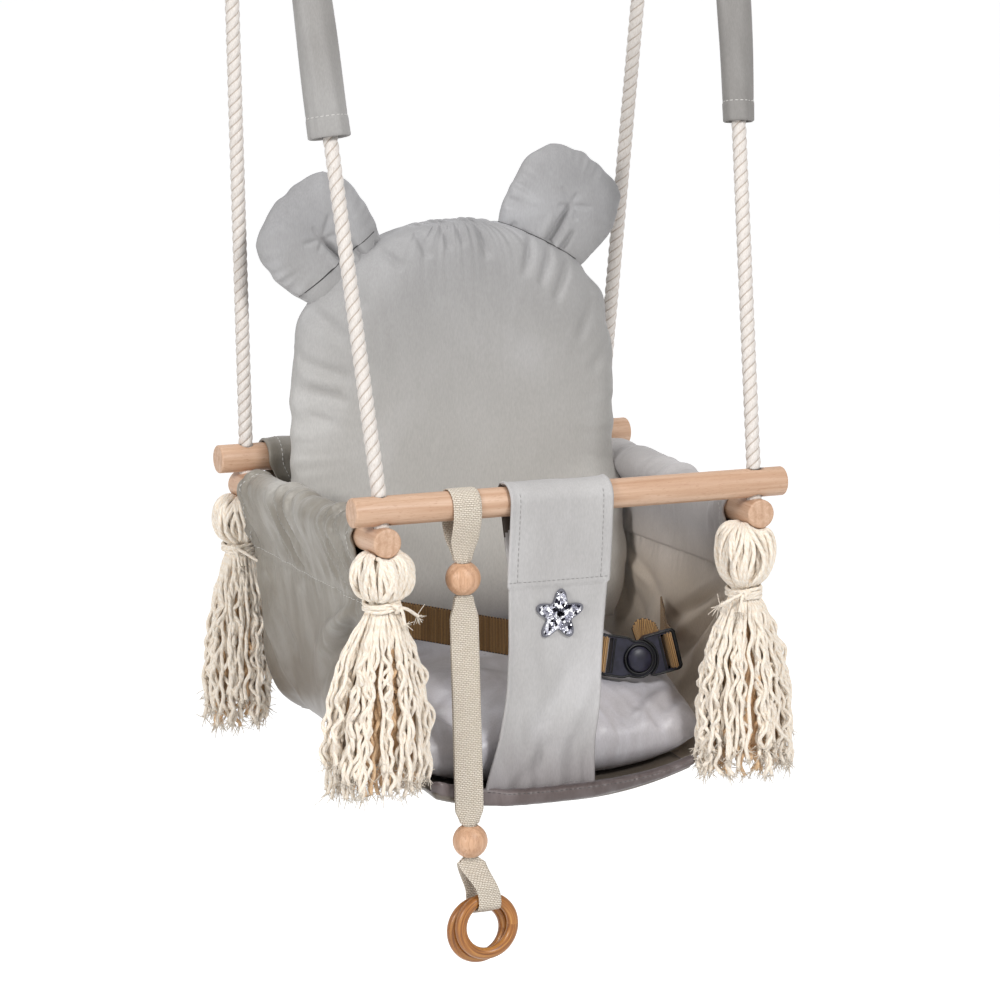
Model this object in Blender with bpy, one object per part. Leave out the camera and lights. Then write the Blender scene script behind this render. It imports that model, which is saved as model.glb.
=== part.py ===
"""A baby swing seat: four dowels on four ropes, a velour sling with cushions, a toy strap, a belt and tassels.

The seat faces -Y and +X is the viewer's right. Shapes are written in the seat's own place, with the zero point
in the middle of the upper dowels' axes. The model's origin is the middle of the four hanging rings' lower bars.
"""

import math

import bmesh
import bpy
from mathutils import Matrix, Vector

# Clearances
GAP = 0.0003
SOFT_GAP = 0.0006
ROPE_CLEARANCE = 0.0006

# Dowels
DOWEL_R = 0.0125
CROSS_DOWEL_END = 0.0270
SIDE_DOWEL_END = 0.0140
DOWEL_EDGE = 0.0018
DOWEL_SIDES = 24

# Ropes: the holes' spacing, and how far each rope leans for its height
ROPE_R = 0.0065
ROPE_SPACING_X = 0.346
ROPE_SPACING_Y = 0.306
ROPE_SPREAD_RATIO = 0.054
FRONT_LEAN_RATIO = 0.218
REAR_LEAN_RATIO = 0.080
ROPE_FOOT_GAP = 0.0009
HANG_HEIGHT = 0.548
FRONT_EYE_GAP = 0.0003
REAR_EYE_GAP = 0.0004

# Eyes, seizings and rings at the rope tops
EYE_LEG_SPACING = 0.0142
EYE_BEND_R = 0.0262
EYE_STRAIGHT = 0.022
SEIZING_LENGTH = 0.020
SEIZING_WALL = 0.0024
RING_BAR_R = 0.004
RING_R = 0.018
RING_COLUMNS = 18
RING_SIDES = 6

# Grip sleeves on the front ropes
SLEEVE_TOP_ROOM = 0.0276
SLEEVE_LENGTH = 0.165
SLEEVE_HALF_WIDTH = 0.0154
SLEEVE_HALF_DEPTH = 0.0125
SLEEVE_WALL = 0.0026
SLEEVE_SWELL_RATIO = 0.060
SLEEVE_TWIST_RATIO = 0.147

# Stopper knots and tassels
KNOT_R = 0.0150
KNOT_HALF_HEIGHT = 0.0130
FRONT_HEAD_R = 0.0275
REAR_HEAD_R = 0.0240
TASSEL_HEAD_DROP = 0.0092
TASSEL_NECK_DROP = 0.0537
TASSEL_NECK_R = 0.0130
TASSEL_TIE_R = 0.0030
TASSEL_SHIFT = {"fl": 0.0, "fr": -0.0090, "rl": -0.0070, "rr": 0.0}
SKIRT_LENGTH = {"fl": 0.158, "fr": 0.172, "rl": 0.158, "rr": 0.158}
FRONT_SKIRT_FOOT_R = 0.0480
REAR_SKIRT_FOOT_R = 0.0330
SKIRT_DEPTH_OUT = 0.0310
SKIRT_DEPTH_IN = 0.0230
SKIRT_TOP_R = 0.0135
SKIRT_SIDES = 20
SKIRT_ROWS = 7
SKIRT_FLUTE_RATIO = 0.06

# Cloth of the sling: each inset is measured in from the ropes' holes
CLOTH = 0.0026
PANEL_FRONT_INSET = 0.0290
PANEL_REAR_INSET = 0.0250
PANEL_SEAM_DROP = 0.055
PANEL_CURVE = [(0.0035, 0.22), (0.0065, 0.44), (0.0120, 0.68), (0.0230, 0.87), (0.0400, 0.975)]
PANEL_COLUMNS = 11
PANEL_ROWS = 11
SLEEVE_ARC_STEPS = 8
FOLD_DEPTH = 0.0022
FOLD_TOP_Z = -0.0953
FOLD_FULL_Z = -0.1500
FOLD_EASE_Z = -0.2000
FOLD_FOOT_Z = -0.2450
BACK_PANEL_INSET = 0.0170
BACK_PANEL_WAIST_INSET = 0.0280
BASE_SIDE_INSET = 0.0550
BASE_FRONT_INSET = 0.0110
BASE_REAR_INSET = 0.0190
BASE_FRONT_Z = -0.2600
BASE_REAR_Z = -0.2340
BASE_EDGE_RISE = 0.0130
BASE_THICKNESS = 0.0090

# Crotch panel and its star
CROTCH_X = -0.0155
CROTCH_FOOT_X = -0.0230
CROTCH_WIDTH = 0.0960
CROTCH_WAIST_WIDTH = 0.0870
CROTCH_FOOT_WIDTH = 0.1010
CROTCH_SEAM_DROP = 0.0720
CROTCH_LEAN_Z = -0.1600
STAR_X = -0.0194
STAR_Z = -0.0980
STAR_R = 0.0225
STAR_THICKNESS = 0.0030

# Cushions, inset from the ropes' holes too
SEAT_CUSHION_SIDE_INSET = 0.0270
SEAT_CUSHION_FRONT_INSET = 0.0170
SEAT_CUSHION_REAR_INSET = 0.0260
SEAT_CUSHION_HEIGHT = 0.0950
SEAT_CUSHION_SEAM_RATIO = 0.36
SEAT_CORNER_RATIO = 0.10
BACK_CUSHION_X = 0.0010
BACK_CUSHION_INSET = 0.0600
BACK_CUSHION_SIDE_ROOM = 0.0055
BACK_CUSHION_TOP_Z = 0.2090
BACK_CUSHION_SHOULDER_Z = 0.0300
BACK_CUSHION_CROWN = 0.0040
BACK_CUSHION_FRONT = 0.0370
BACK_CUSHION_BACK = 0.0330
EAR_THICKNESS = 0.0320
EAR_HALF_WIDTH = 0.0545
EAR_HALF_HEIGHT = 0.0580
LEFT_EAR_CENTRE = (-0.1270, 0.1960)
RIGHT_EAR_CENTRE = (0.1030, 0.2120)
LEFT_EAR_LEAN = 44
RIGHT_EAR_LEAN = 34

# Toy strap on the front dowel
STRAP_X = -0.1010
STRAP_BEAD_LEAN = 0.0080
STRAP_RING_LEAN = 0.0115
STRAP_WIDTH = 0.0280
STRAP_WEB = 0.0015
STRAP_LAYER_GAP = 0.0005
STRAP_PINCH_WIDTH = 0.0110
STRAP_RING_WIDTH = 0.0180
BEAD_R = 0.0148
BEAD_HOLE_R = 0.0064
UPPER_BEAD_DROP = 0.0620
LOWER_BEAD_DROP = 0.2870
TOY_RING_DROP = 0.3370
TOY_RING_R = 0.0220
TOY_RING_BAR_R = 0.0052
TOY_RING_SWING_ROOM = 0.0009

# Waist belt and buckle. The belt's start on the left and its way on the right are measured in from the ropes' holes
WEB_WIDTH = 0.0300
WEB = 0.0016
BELT_LEAD = 0.0060
BELT_LEFT_START = (0.0120, 0.0300, -0.1080)
BELT_LEFT_WAY = [
    (-0.1300, -0.0040, -0.1150),
    (-0.0800, -0.0300, -0.1240),
    (-0.0200, -0.0520, -0.1360),
    (0.0300, -0.0660, -0.1460),
]
BELT_RIGHT_WAY = [(0.0120, 0.0200, -0.1180), (0.0140, -0.0200, -0.1290), (0.0230, -0.0520, -0.1420)]
BELT_TAIL_WAY = [(0.0120, -0.0040, 0.0040), (0.0200, 0.0040, 0.0120), (0.0200, 0.0160, 0.0200)]
BELT_TAIL_LEANS = [-0.15, -0.30, -0.40]
BUCKLE_CENTRE = (0.0950, -0.0850, -0.1600)
BUCKLE_LEAN = math.radians(10)
BUCKLE_TURN = math.radians(-6)
BUCKLE_BEND = math.radians(11)
BUCKLE_HEIGHT = 0.0360
BUCKLE_THICKNESS = 0.0110
BUCKLE_WALL = 0.0018
BUCKLE_REACH = 0.0340
BUCKLE_HUB_R = 0.0165
BUCKLE_EDGE = 0.0008
BUCKLE_CORNER = 0.0030
BUCKLE_NECK = 0.0120
SLOT_LENGTH = 0.0060
SLOT_BAR = 0.0035
TONGUE_THICKNESS = 0.0030
TONGUE_WIDTH = 0.0150
TONGUE_LENGTH = 0.0240
BUTTON_R = 0.0100
BUTTON_HEIGHT = 0.0040
BUTTON_DOME = 0.0015

# Places that follow from the sizes above
HOLE_R = ROPE_R + ROPE_CLEARANCE
HALF_X = ROPE_SPACING_X / 2
HALF_Y = ROPE_SPACING_Y / 2
SIDE_DOWEL_Z = -(2 * DOWEL_R + GAP)
TASSEL_HEAD_TOP = SIDE_DOWEL_Z - TASSEL_HEAD_DROP
TASSEL_NECK_Z = SIDE_DOWEL_Z - TASSEL_NECK_DROP
PANEL_FRONT_Y = PANEL_FRONT_INSET - HALF_Y
PANEL_REAR_Y = HALF_Y - PANEL_REAR_INSET
BACK_PANEL_HALF_WIDTH = HALF_X - BACK_PANEL_INSET
BACK_PANEL_WAIST = HALF_X - BACK_PANEL_WAIST_INSET
BASE_HALF_WIDTH = HALF_X - BASE_SIDE_INSET
BASE_FRONT_Y = BASE_FRONT_INSET - HALF_Y
BASE_REAR_Y = HALF_Y - BASE_REAR_INSET
SEAT_CUSHION_HALF_WIDTH = HALF_X - SEAT_CUSHION_SIDE_INSET
SEAT_CUSHION_FRONT_Y = SEAT_CUSHION_FRONT_INSET - HALF_Y
SEAT_CUSHION_REAR_Y = HALF_Y - SEAT_CUSHION_REAR_INSET
BACK_CUSHION_HALF_WIDTH = HALF_X - DOWEL_R - BACK_CUSHION_SIDE_ROOM
BACK_CUSHION_Y = HALF_Y - BACK_CUSHION_INSET
KNOT_Z = SIDE_DOWEL_Z - DOWEL_R - GAP - KNOT_HALF_HEIGHT
SLEEVE_INNER_R = DOWEL_R + SOFT_GAP
FRONT, REAR, LEFT, RIGHT = -1, 1, -1, 1
CORNERS = {"fl": (LEFT, FRONT), "fr": (RIGHT, FRONT), "rl": (LEFT, REAR), "rr": (RIGHT, REAR)}


def clear_scene():
    for obj in list(bpy.data.objects):
        bpy.data.objects.remove(obj, do_unlink=True)


def material(name, colour, roughness, metallic=0.0):
    made = bpy.data.materials.new(name)
    made.use_nodes = True
    shader = made.node_tree.nodes["Principled BSDF"]
    shader.inputs["Base Color"].default_value = (*colour, 1.0)
    shader.inputs["Roughness"].default_value = roughness
    shader.inputs["Metallic"].default_value = metallic
    return made


def linked(obj):
    bpy.context.scene.collection.objects.link(obj)
    return obj


def pivot(name, place):
    """An empty at a point of the seat, for the pieces that turn or slide there."""
    empty = linked(bpy.data.objects.new(name, None))
    empty.empty_display_size = 0.02
    empty.location = Vector(place)
    empty.parent = SEAT_ORIGIN
    return empty


def attach(obj, parent):
    """Hangs an object on an empty, and leaves it where its points say in the seat."""
    obj.parent = parent
    if parent is not SEAT_ORIGIN:
        obj.location = obj.location - parent.location
    return obj


def mesh_object(name, points, faces, surface, parent=None, smooth=True):
    mesh = bpy.data.meshes.new(name)
    mesh.from_pydata([tuple(p) for p in points], [], faces)
    mesh.validate()
    shape = bmesh.new()
    shape.from_mesh(mesh)
    bmesh.ops.recalc_face_normals(shape, faces=shape.faces)
    if shape.calc_volume(signed=True) < 0:
        bmesh.ops.reverse_faces(shape, faces=shape.faces)
    shape.to_mesh(mesh)
    shape.free()
    if smooth:
        mesh.shade_smooth()
        mesh.set_sharp_from_angle(angle=math.radians(40))
    obj = linked(bpy.data.objects.new(name, mesh))
    if surface:
        mesh.materials.append(surface)
    return attach(obj, parent or SEAT_ORIGIN)


def loft(name, rings, surface, parent=None, closed=False, smooth=True):
    """Skins a row of rings with as many points each. Closed joins the last to the first, and open ends are capped."""
    sides = len(rings[0])
    points = [p for ring in rings for p in ring]
    faces = []
    for i in range(len(rings) if closed else len(rings) - 1):
        low, high = i * sides, (i + 1) % len(rings) * sides
        for j in range(sides):
            k = (j + 1) % sides
            faces.append((low + j, low + k, high + k, high + j))
    if not closed:
        faces.append(tuple(range(sides - 1, -1, -1)))
        faces.append(tuple(range(len(points) - sides, len(points))))
    return mesh_object(name, points, faces, surface, parent, smooth)


def circle(centre, side_a, side_b, radius, sides, turn=0.0):
    centre, side_a, side_b = Vector(centre), Vector(side_a), Vector(side_b)
    angles = [turn + 2 * math.pi * i / sides for i in range(sides)]
    return [centre + radius * (math.cos(a) * side_a + math.sin(a) * side_b) for a in angles]


def turned(name, centre, profile, sides, surface, parent=None, closed=False):
    """A shape turned about the vertical through centre, from (radius, height) pairs."""
    base = Vector(centre)
    rings = [circle(base + Vector((0, 0, z)), (1, 0, 0), (0, 1, 0), r, sides) for r, z in profile]
    return loft(name, rings, surface, parent, closed)


def cut(obj, cutter):
    cutter.hide_render = True
    cutter.display_type = "WIRE"
    step = obj.modifiers.new(cutter.name, "BOOLEAN")
    step.operation = "DIFFERENCE"
    step.solver = "EXACT"
    step.object = cutter


def smooth_path(knots, steps):
    """Points on a curve through the knots, evenly spaced in steps."""
    knots = [Vector(k) for k in knots]
    ends = [2 * knots[0] - knots[1], *knots, 2 * knots[-1] - knots[-2]]
    dense = []
    for a, b, c, d in zip(ends, ends[1:], ends[2:], ends[3:]):
        square = 2 * a - 5 * b + 4 * c - d
        cube = 3 * b - a - 3 * c + d
        for i in range(16):
            t = i / 16
            dense.append(b + 0.5 * ((c - a) * t + square * t**2 + cube * t**3))
    dense.append(knots[-1])
    return evenly(dense, steps)


def evenly(dense, steps):
    """The same line as steps + 1 points, equally far apart along it."""
    along = [0.0]
    for p, q in zip(dense, dense[1:]):
        along.append(along[-1] + (q - p).length)
    found, k = [], 0
    for i in range(steps + 1):
        want = along[-1] * i / steps
        while k < len(dense) - 2 and along[k + 1] < want:
            k += 1
        span = along[k + 1] - along[k]
        found.append(dense[k].lerp(dense[k + 1], (want - along[k]) / span if span else 0))
    return found


def mix(a, b, t):
    return a + (b - a) * t


def smoothstep(low, high, x):
    t = min(max((x - low) / (high - low), 0), 1)
    return t * t * (3 - 2 * t)


def cloth(name, grid, thickness, surface, parent=None):
    """A sheet of even thickness from a grid of points on its middle surface."""
    rows, columns = len(grid), len(grid[0])
    above, below = [], []
    for i in range(rows):
        for j in range(columns):
            down = grid[min(i + 1, rows - 1)][j] - grid[max(i - 1, 0)][j]
            across = grid[i][min(j + 1, columns - 1)] - grid[i][max(j - 1, 0)]
            normal = across.cross(down).normalized()
            above.append(grid[i][j] + normal * thickness / 2)
            below.append(grid[i][j] - normal * thickness / 2)
    count = rows * columns
    faces = []
    for i in range(rows - 1):
        for j in range(columns - 1):
            a, b, c, d = (
                i * columns + j,
                i * columns + j + 1,
                (i + 1) * columns + j + 1,
                (i + 1) * columns + j,
            )
            faces.append((a, b, c, d))
            faces.append((d + count, c + count, b + count, a + count))
    rim = [j for j in range(columns)]
    rim += [i * columns + columns - 1 for i in range(1, rows)]
    rim += [(rows - 1) * columns + j for j in range(columns - 2, -1, -1)]
    rim += [i * columns for i in range(rows - 2, 0, -1)]
    for a, b in zip(rim, rim[1:] + rim[:1]):
        faces.append((b, a, a + count, b + count))
    return mesh_object(name, above + below, faces, surface, parent)


def pillow(name, columns, rows, place, front, back, surface, parent=None):
    """Two skins sewn together round their rim. The arguments are functions of u and v, both from -1 to 1."""
    us = [math.sin(math.pi * (j / columns - 0.5)) for j in range(columns + 1)]
    vs = [math.sin(math.pi * (i / rows - 0.5)) for i in range(rows + 1)]
    points = [place(u, v) + front(u, v) for v in vs for u in us]
    width = columns + 1
    under = {}
    for i in range(rows + 1):
        for j in range(width):
            if 0 < i < rows and 0 < j < columns:
                under[i, j] = len(points)
                points.append(place(us[j], vs[i]) + back(us[j], vs[i]))
            else:
                under[i, j] = i * width + j
    faces = []
    for i in range(rows):
        for j in range(columns):
            low, high = i * width + j, (i + 1) * width + j
            faces.append((low, low + 1, high + 1, high))
            faces.append((under[i + 1, j], under[i + 1, j + 1], under[i, j + 1], under[i, j]))
    return mesh_object(name, points, faces, surface, parent)


def cylinder(name, start, end, radius, sides, surface=None, parent=None):
    start, end = Vector(start), Vector(end)
    along = (end - start).normalized()
    side = Vector((1, 0, 0)) if abs(along.x) < 0.9 else Vector((0, 1, 0))
    a = along.cross(side).normalized()
    b = along.cross(a)
    return loft(name, [circle(start, a, b, radius, sides), circle(end, a, b, radius, sides)], surface, parent)


def tube(name, route, radius, surface, parent=None, sides_setting=2, cyclic=False):
    """A round cord along a route, as a curve with a bevel and filled caps."""
    curve = bpy.data.curves.new(name, "CURVE")
    curve.dimensions = "3D"
    curve.bevel_depth = radius
    curve.bevel_resolution = sides_setting
    curve.use_fill_caps = True
    spline = curve.splines.new("POLY")
    spline.points.add(len(route) - 1)
    for point, place in zip(spline.points, route):
        point.co = (*place, 1)
    spline.use_cyclic_u = cyclic
    curve.materials.append(surface)
    return attach(linked(bpy.data.objects.new(name, curve)), parent or SEAT_ORIGIN)


def dowel(name, centre, along, length, surface):
    """A round bar with eased edges, drilled for its two ropes."""
    centre, along = Vector(centre), Vector(along)
    side = Vector((0, 0, 1)).cross(along)
    half = length / 2
    ends = [
        (half - DOWEL_EDGE, DOWEL_R),
        (half - DOWEL_EDGE * 0.3, DOWEL_R - DOWEL_EDGE * 0.3),
        (half, DOWEL_R - DOWEL_EDGE),
    ]
    stations = [(-s, r) for s, r in reversed(ends)] + ends
    rings = [circle(centre + along * s, side, (0, 0, 1), r, DOWEL_SIDES) for s, r in stations]
    bar = loft(name, rings, surface)
    reach = HALF_X if abs(along.x) > 0.5 else HALF_Y
    for end in (-1, 1):
        at = centre + along * end * reach
        drill = cylinder(
            f"{name}_hole_{'a' if end < 0 else 'b'}",
            at - Vector((0, 0, 2 * DOWEL_R)),
            at + Vector((0, 0, 2 * DOWEL_R)),
            HOLE_R,
            16,
        )
        cut(bar, drill)
    return bar


def rope_line(side, end):
    """Where a rope's axis meets its dowel's axis, and its direction upwards."""
    lean = FRONT_LEAN_RATIO if end == FRONT else REAR_LEAN_RATIO
    foot = Vector((side * HALF_X, end * HALF_Y, 0))
    return foot, Vector((side * ROPE_SPREAD_RATIO, -end * lean, 1)).normalized()


def rope_frame(side, end):
    """The rope's foot, its direction, the direction towards the seat's middle, and across both."""
    foot, along = rope_line(side, end)
    across = (Vector((1, 0, 0)) - along.x * along).normalized()
    inward = across.cross(along) * (1 if end == REAR else -1)
    if inward.y * end > 0:
        inward = -inward
    return foot, along, inward, across


def eye_height(along):
    """Length along the rope from its foot to the level of the eye's neck."""
    top = HANG_HEIGHT / along.z + RING_BAR_R + GAP + ROPE_R
    return top - EYE_BEND_R - EYE_STRAIGHT


def ring_bar_place(side, end):
    """The middle of the ring's lower bar, inside the top of the eye."""
    foot, along, inward, _ = rope_frame(side, end)
    gap = FRONT_EYE_GAP if end == FRONT else REAR_EYE_GAP
    reach = eye_height(along) + EYE_STRAIGHT + EYE_BEND_R - ROPE_R - gap - RING_BAR_R
    return foot + along * reach + inward * EYE_LEG_SPACING / 2


def rope_route(side, end):
    """Up the straight rope, round the eye and back down beside it to the seizing's foot."""
    foot, along, inward, _ = rope_frame(side, end)
    neck = eye_height(along)
    half = EYE_LEG_SPACING / 2
    shape = []
    swell = EYE_BEND_R - half
    steps = 5
    for i in range(1, steps + 1):
        t = i / steps
        shape.append((-half - swell * smoothstep(0, 1, t), neck + EYE_STRAIGHT * t))
    for i in range(1, 8):
        angle = math.pi * i / 8
        rise = neck + EYE_STRAIGHT + EYE_BEND_R * math.sin(angle)
        shape.append((-EYE_BEND_R * math.cos(angle), rise))
    for i in range(steps, -1, -1):
        t = i / steps
        shape.append((half + swell * smoothstep(0, 1, t), neck + EYE_STRAIGHT * t))
    for i in range(1, 3):
        shape.append((half, neck - (SEIZING_LENGTH + ROPE_R) * i / 2))
    middle = foot + inward * half
    straight = [foot + along * mix(DOWEL_R + ROPE_FOOT_GAP, neck, i / 14) for i in range(15)]
    return straight + [middle + inward * x + along * z for x, z in shape]


def make_rope(corner, surface, parent):
    side, end = CORNERS[corner]
    tube(f"rope_{corner}", rope_route(side, end), ROPE_R, surface, parent)


def make_seizing(corner, surface, parent):
    """The bound collar that holds the rope's end against its standing part."""
    side, end = CORNERS[corner]
    foot, along, inward, across = rope_frame(side, end)
    half = EYE_LEG_SPACING / 2
    middle = foot + inward * half
    top = eye_height(along) - GAP

    def oval(radius, z):
        points = []
        for i in range(16):
            angle = 2 * math.pi * (i + 0.5) / 16
            shift = half if math.cos(angle) > 0 else -half
            spot = inward * (shift + radius * math.cos(angle)) + across * radius * math.sin(angle)
            points.append(middle + spot + along * z)
        return points

    inner = (ROPE_R + GAP) / math.cos(math.pi / 16) + GAP
    outer = inner + SEIZING_WALL
    low = top - SEIZING_LENGTH
    rings = [oval(outer, low), oval(outer, top), oval(inner, top), oval(inner, low)]
    loft(f"rope_seizing_{corner}", rings, surface, parent, closed=True)


def ring_solid(name, centre, radius, bar, side_a, side_b, columns, sides, surface, parent=None):
    centre, side_a, side_b = Vector(centre), Vector(side_a), Vector(side_b)
    normal = side_a.cross(side_b)
    rings = []
    for i in range(columns):
        angle = 2 * math.pi * i / columns
        out = math.cos(angle) * side_a + math.sin(angle) * side_b
        rings.append(circle(centre + out * radius, out, normal, bar, sides))
    return loft(name, rings, surface, parent, closed=True)


def make_hang_ring(corner, surface):
    side, end = CORNERS[corner]
    centre = ring_bar_place(side, end) + Vector((0, 0, RING_R))
    name = f"hang_ring_{corner}"
    ring_solid(name, centre, RING_R, RING_BAR_R, (1, 0, 0), (0, 0, 1), RING_COLUMNS, RING_SIDES, surface)


def sleeve_low(along):
    """Length along a front rope from its foot to its grip sleeve's lower end."""
    return eye_height(along) - GAP - SEIZING_LENGTH - SLEEVE_TOP_ROOM - SLEEVE_LENGTH


def make_sleeve(name, corner, surface, parent):
    """A cloth tube round a front rope, gathered to the rope at its top."""
    side, end = CORNERS[corner]
    foot, along, inward, across = rope_frame(side, end)
    sides = 16

    def oval(wide, deep, z):
        at = foot + along * z
        angles = [2 * math.pi * i / sides for i in range(sides)]
        return [at + across * wide * math.cos(a) + inward * deep * math.sin(a) for a in angles]

    low = sleeve_low(along)
    rows = 7
    outer = []
    inner = []
    rope_fit = (ROPE_R + GAP) / math.cos(math.pi / sides) + GAP
    for i in range(rows + 1):
        t = i / rows
        swell = 1 + SLEEVE_SWELL_RATIO * math.sin(math.pi * t) - SLEEVE_TWIST_RATIO * (1 - t) * side
        gather = smoothstep(0.80, 1.0, t)
        wide = mix(SLEEVE_HALF_WIDTH * swell, rope_fit + SLEEVE_WALL, gather)
        deep = mix(SLEEVE_HALF_DEPTH * swell, rope_fit + SLEEVE_WALL, gather)
        z = low + SLEEVE_LENGTH * t
        outer.append(oval(wide, deep, z))
        inner.append(oval(wide - SLEEVE_WALL, deep - SLEEVE_WALL, z))
    rings = outer + list(reversed(inner))
    loft(name, rings, surface, parent, closed=True)


def make_knot(corner, surface):
    """The rope's end: its stretch through both dowels and the stopper knot below them."""
    side, end = CORNERS[corner]
    sides = 10
    x, y = side * HALF_X, end * HALF_Y
    top = math.sqrt(DOWEL_R**2 - ROPE_R**2) - GAP
    rings = []
    steps = 6
    for i in range(steps):
        angle = math.pi * (0.06 + 0.80 * i / (steps - 1))
        radius = KNOT_R * math.sin(angle)
        z = KNOT_Z - KNOT_HALF_HEIGHT * math.cos(angle)
        ring = []
        for j in range(sides):
            a = 2 * math.pi * j / sides
            r = radius * (1 + 0.06 * math.cos(3 * a + 2 * angle))
            ring.append(Vector((x + r * math.cos(a), y + r * math.sin(a), z)))
        rings.append(ring)
    for z in (SIDE_DOWEL_Z - DOWEL_R + GAP, top):
        rings.append(circle((x, y, z), (1, 0, 0), (0, 1, 0), ROPE_R, sides))
    loft(f"rope_knot_{corner}", rings, surface)


def make_tassel(corner, surface):
    side, end = CORNERS[corner]
    x, y = side * HALF_X + TASSEL_SHIFT[corner], end * HALF_Y
    neck_top = TASSEL_NECK_Z + TASSEL_TIE_R + GAP
    head_r = FRONT_HEAD_R if end == FRONT else REAR_HEAD_R
    sides = 18
    heights = [
        (TASSEL_NECK_R, TASSEL_NECK_Z - TASSEL_TIE_R),
        (TASSEL_NECK_R, neck_top),
        (head_r * 0.84, neck_top + 0.009),
        (head_r, neck_top + 0.022),
        (head_r * 0.97, neck_top + 0.032),
        (head_r * 0.80, TASSEL_HEAD_TOP),
    ]
    rings = []
    for radius, z in heights:
        flute = 0.0 if radius == TASSEL_NECK_R else 0.04
        ring = []
        for j in range(sides):
            a = 2 * math.pi * j / sides
            r = radius * (1 + flute * (-1) ** j)
            ring.append(Vector((x + r * math.cos(a), y + r * math.sin(a), z)))
        rings.append(ring)
    head = loft(f"tassel_head_{corner}", rings, surface)
    reach = head_r * 1.5
    saddle = cylinder(
        f"tassel_saddle_{corner}",
        (side * HALF_X, y - reach, SIDE_DOWEL_Z),
        (side * HALF_X, y + reach, SIDE_DOWEL_Z),
        DOWEL_R + SOFT_GAP,
        22,
    )
    cut(head, saddle)
    knot_x = side * HALF_X
    neck = ROPE_R + 2 * SOFT_GAP
    pocket_rings = []
    for i in range(6):
        angle = math.pi * (0.07 + 0.80 * i / 5)
        z = KNOT_Z - (KNOT_HALF_HEIGHT + SOFT_GAP) * math.cos(angle)
        radius = (KNOT_R * 1.10 + SOFT_GAP) * math.sin(angle)
        pocket_rings.append(circle((knot_x, y, z), (1, 0, 0), (0, 1, 0), max(radius, neck), 14))
    pocket_rings.append(circle((knot_x, y, SIDE_DOWEL_Z), (1, 0, 0), (0, 1, 0), neck, 14))
    cut(head, loft(f"tassel_pocket_{corner}", pocket_rings, None))

    ring_solid(
        f"tassel_tie_{corner}",
        (x, y, TASSEL_NECK_Z),
        (TASSEL_NECK_R + TASSEL_TIE_R + GAP) / math.cos(math.pi / 12),
        TASSEL_TIE_R,
        (1, 0, 0),
        (0, 1, 0),
        12,
        6,
        surface,
    )


def skirt_pivot(corner):
    side, end = CORNERS[corner]
    drop = TASSEL_NECK_Z - TASSEL_TIE_R - GAP - SKIRT_TOP_R
    return Vector((side * HALF_X + TASSEL_SHIFT[corner], end * HALF_Y, drop))


def make_skirt(corner, surface, parent):
    """The hanging strands, as one fluted form with a round top that turns under the neck. Its inner side is flat."""
    side, end = CORNERS[corner]
    centre = skirt_pivot(corner)
    foot_r = FRONT_SKIRT_FOOT_R if end == FRONT else REAR_SKIRT_FOOT_R
    foot = centre.z - SKIRT_LENGTH[corner] + SKIRT_TOP_R
    rings = []
    for angle in (0.10, 0.30):
        z = centre.z + SKIRT_TOP_R * math.cos(math.pi * angle)
        radius = SKIRT_TOP_R * math.sin(math.pi * angle)
        rings.append(circle((centre.x, centre.y, z), (1, 0, 0), (0, 1, 0), radius, SKIRT_SIDES))
    for i in range(SKIRT_ROWS + 1):
        t = i / SKIRT_ROWS
        spread = t**0.8
        trim = 1 - 0.08 * smoothstep(0.85, 1.0, t)
        ring = []
        for j in range(SKIRT_SIDES):
            a = 2 * math.pi * j / SKIRT_SIDES
            deep = SKIRT_DEPTH_OUT if math.sin(a) * end > 0 else SKIRT_DEPTH_IN
            flute = trim * (1 + SKIRT_FLUTE_RATIO * ((-1) ** j) * spread)
            wide = mix(SKIRT_TOP_R, foot_r, spread) * flute
            deep = mix(SKIRT_TOP_R, min(deep, foot_r), spread) * flute
            ragged = 0.004 * math.sin(5 * a + 2 * side + end) * smoothstep(0.7, 1.0, t)
            z = mix(centre.z, foot, t) + ragged
            ring.append(Vector((centre.x + wide * math.cos(a), centre.y + deep * math.sin(a), z)))
        rings.append(ring)
    loft(f"tassel_skirt_{corner}", rings, surface, parent)


def base_height(y):
    """The seat bottom's middle surface at its centre line."""
    t = (y - BASE_FRONT_Y) / (BASE_REAR_Y - BASE_FRONT_Y)
    return mix(BASE_FRONT_Z, BASE_REAR_Z, t)


def cloth_sleeve(centre, height, drop):
    """Cloth from its inner hem up, over a dowel and down to its seam, as (sideways, height) pairs."""
    step = math.pi / SLEEVE_ARC_STEPS
    radius = SLEEVE_INNER_R / math.cos(step / 2) + CLOTH / 2
    lap = (CLOTH + SOFT_GAP) / 2
    angles = [step * i for i in range(SLEEVE_ARC_STEPS + 1)]
    arc = [(centre - radius * math.cos(a), height + radius * math.sin(a)) for a in angles]
    flare = [(share, radius * (1 - share) ** 1.3 + lap) for share in (0.75, 0.45, 0.2)]
    rise = [(centre - lap, height - drop)]
    rise += [(centre - min(wide, radius), height - drop * share) for share, wide in flare]
    fall = [(2 * centre - x, z) for x, z in reversed(rise)]
    return rise + arc + fall


def side_profile(y):
    """A side panel's line at y below its sleeve, down to the seat bottom, as (sideways, height)."""
    seam_z = SIDE_DOWEL_Z - PANEL_SEAM_DROP
    end_z = base_height(y) + BASE_EDGE_RISE
    depth = end_z - seam_z
    lap = (CLOTH + SOFT_GAP) / 2
    below = [(HALF_X + lap, seam_z)]
    below += [(HALF_X - inset, seam_z + depth * share) for inset, share in PANEL_CURVE]
    edge = BASE_HALF_WIDTH + SOFT_GAP + CLOTH * 0.5
    return below + [(edge, end_z + CLOTH * 0.5)]


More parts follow.
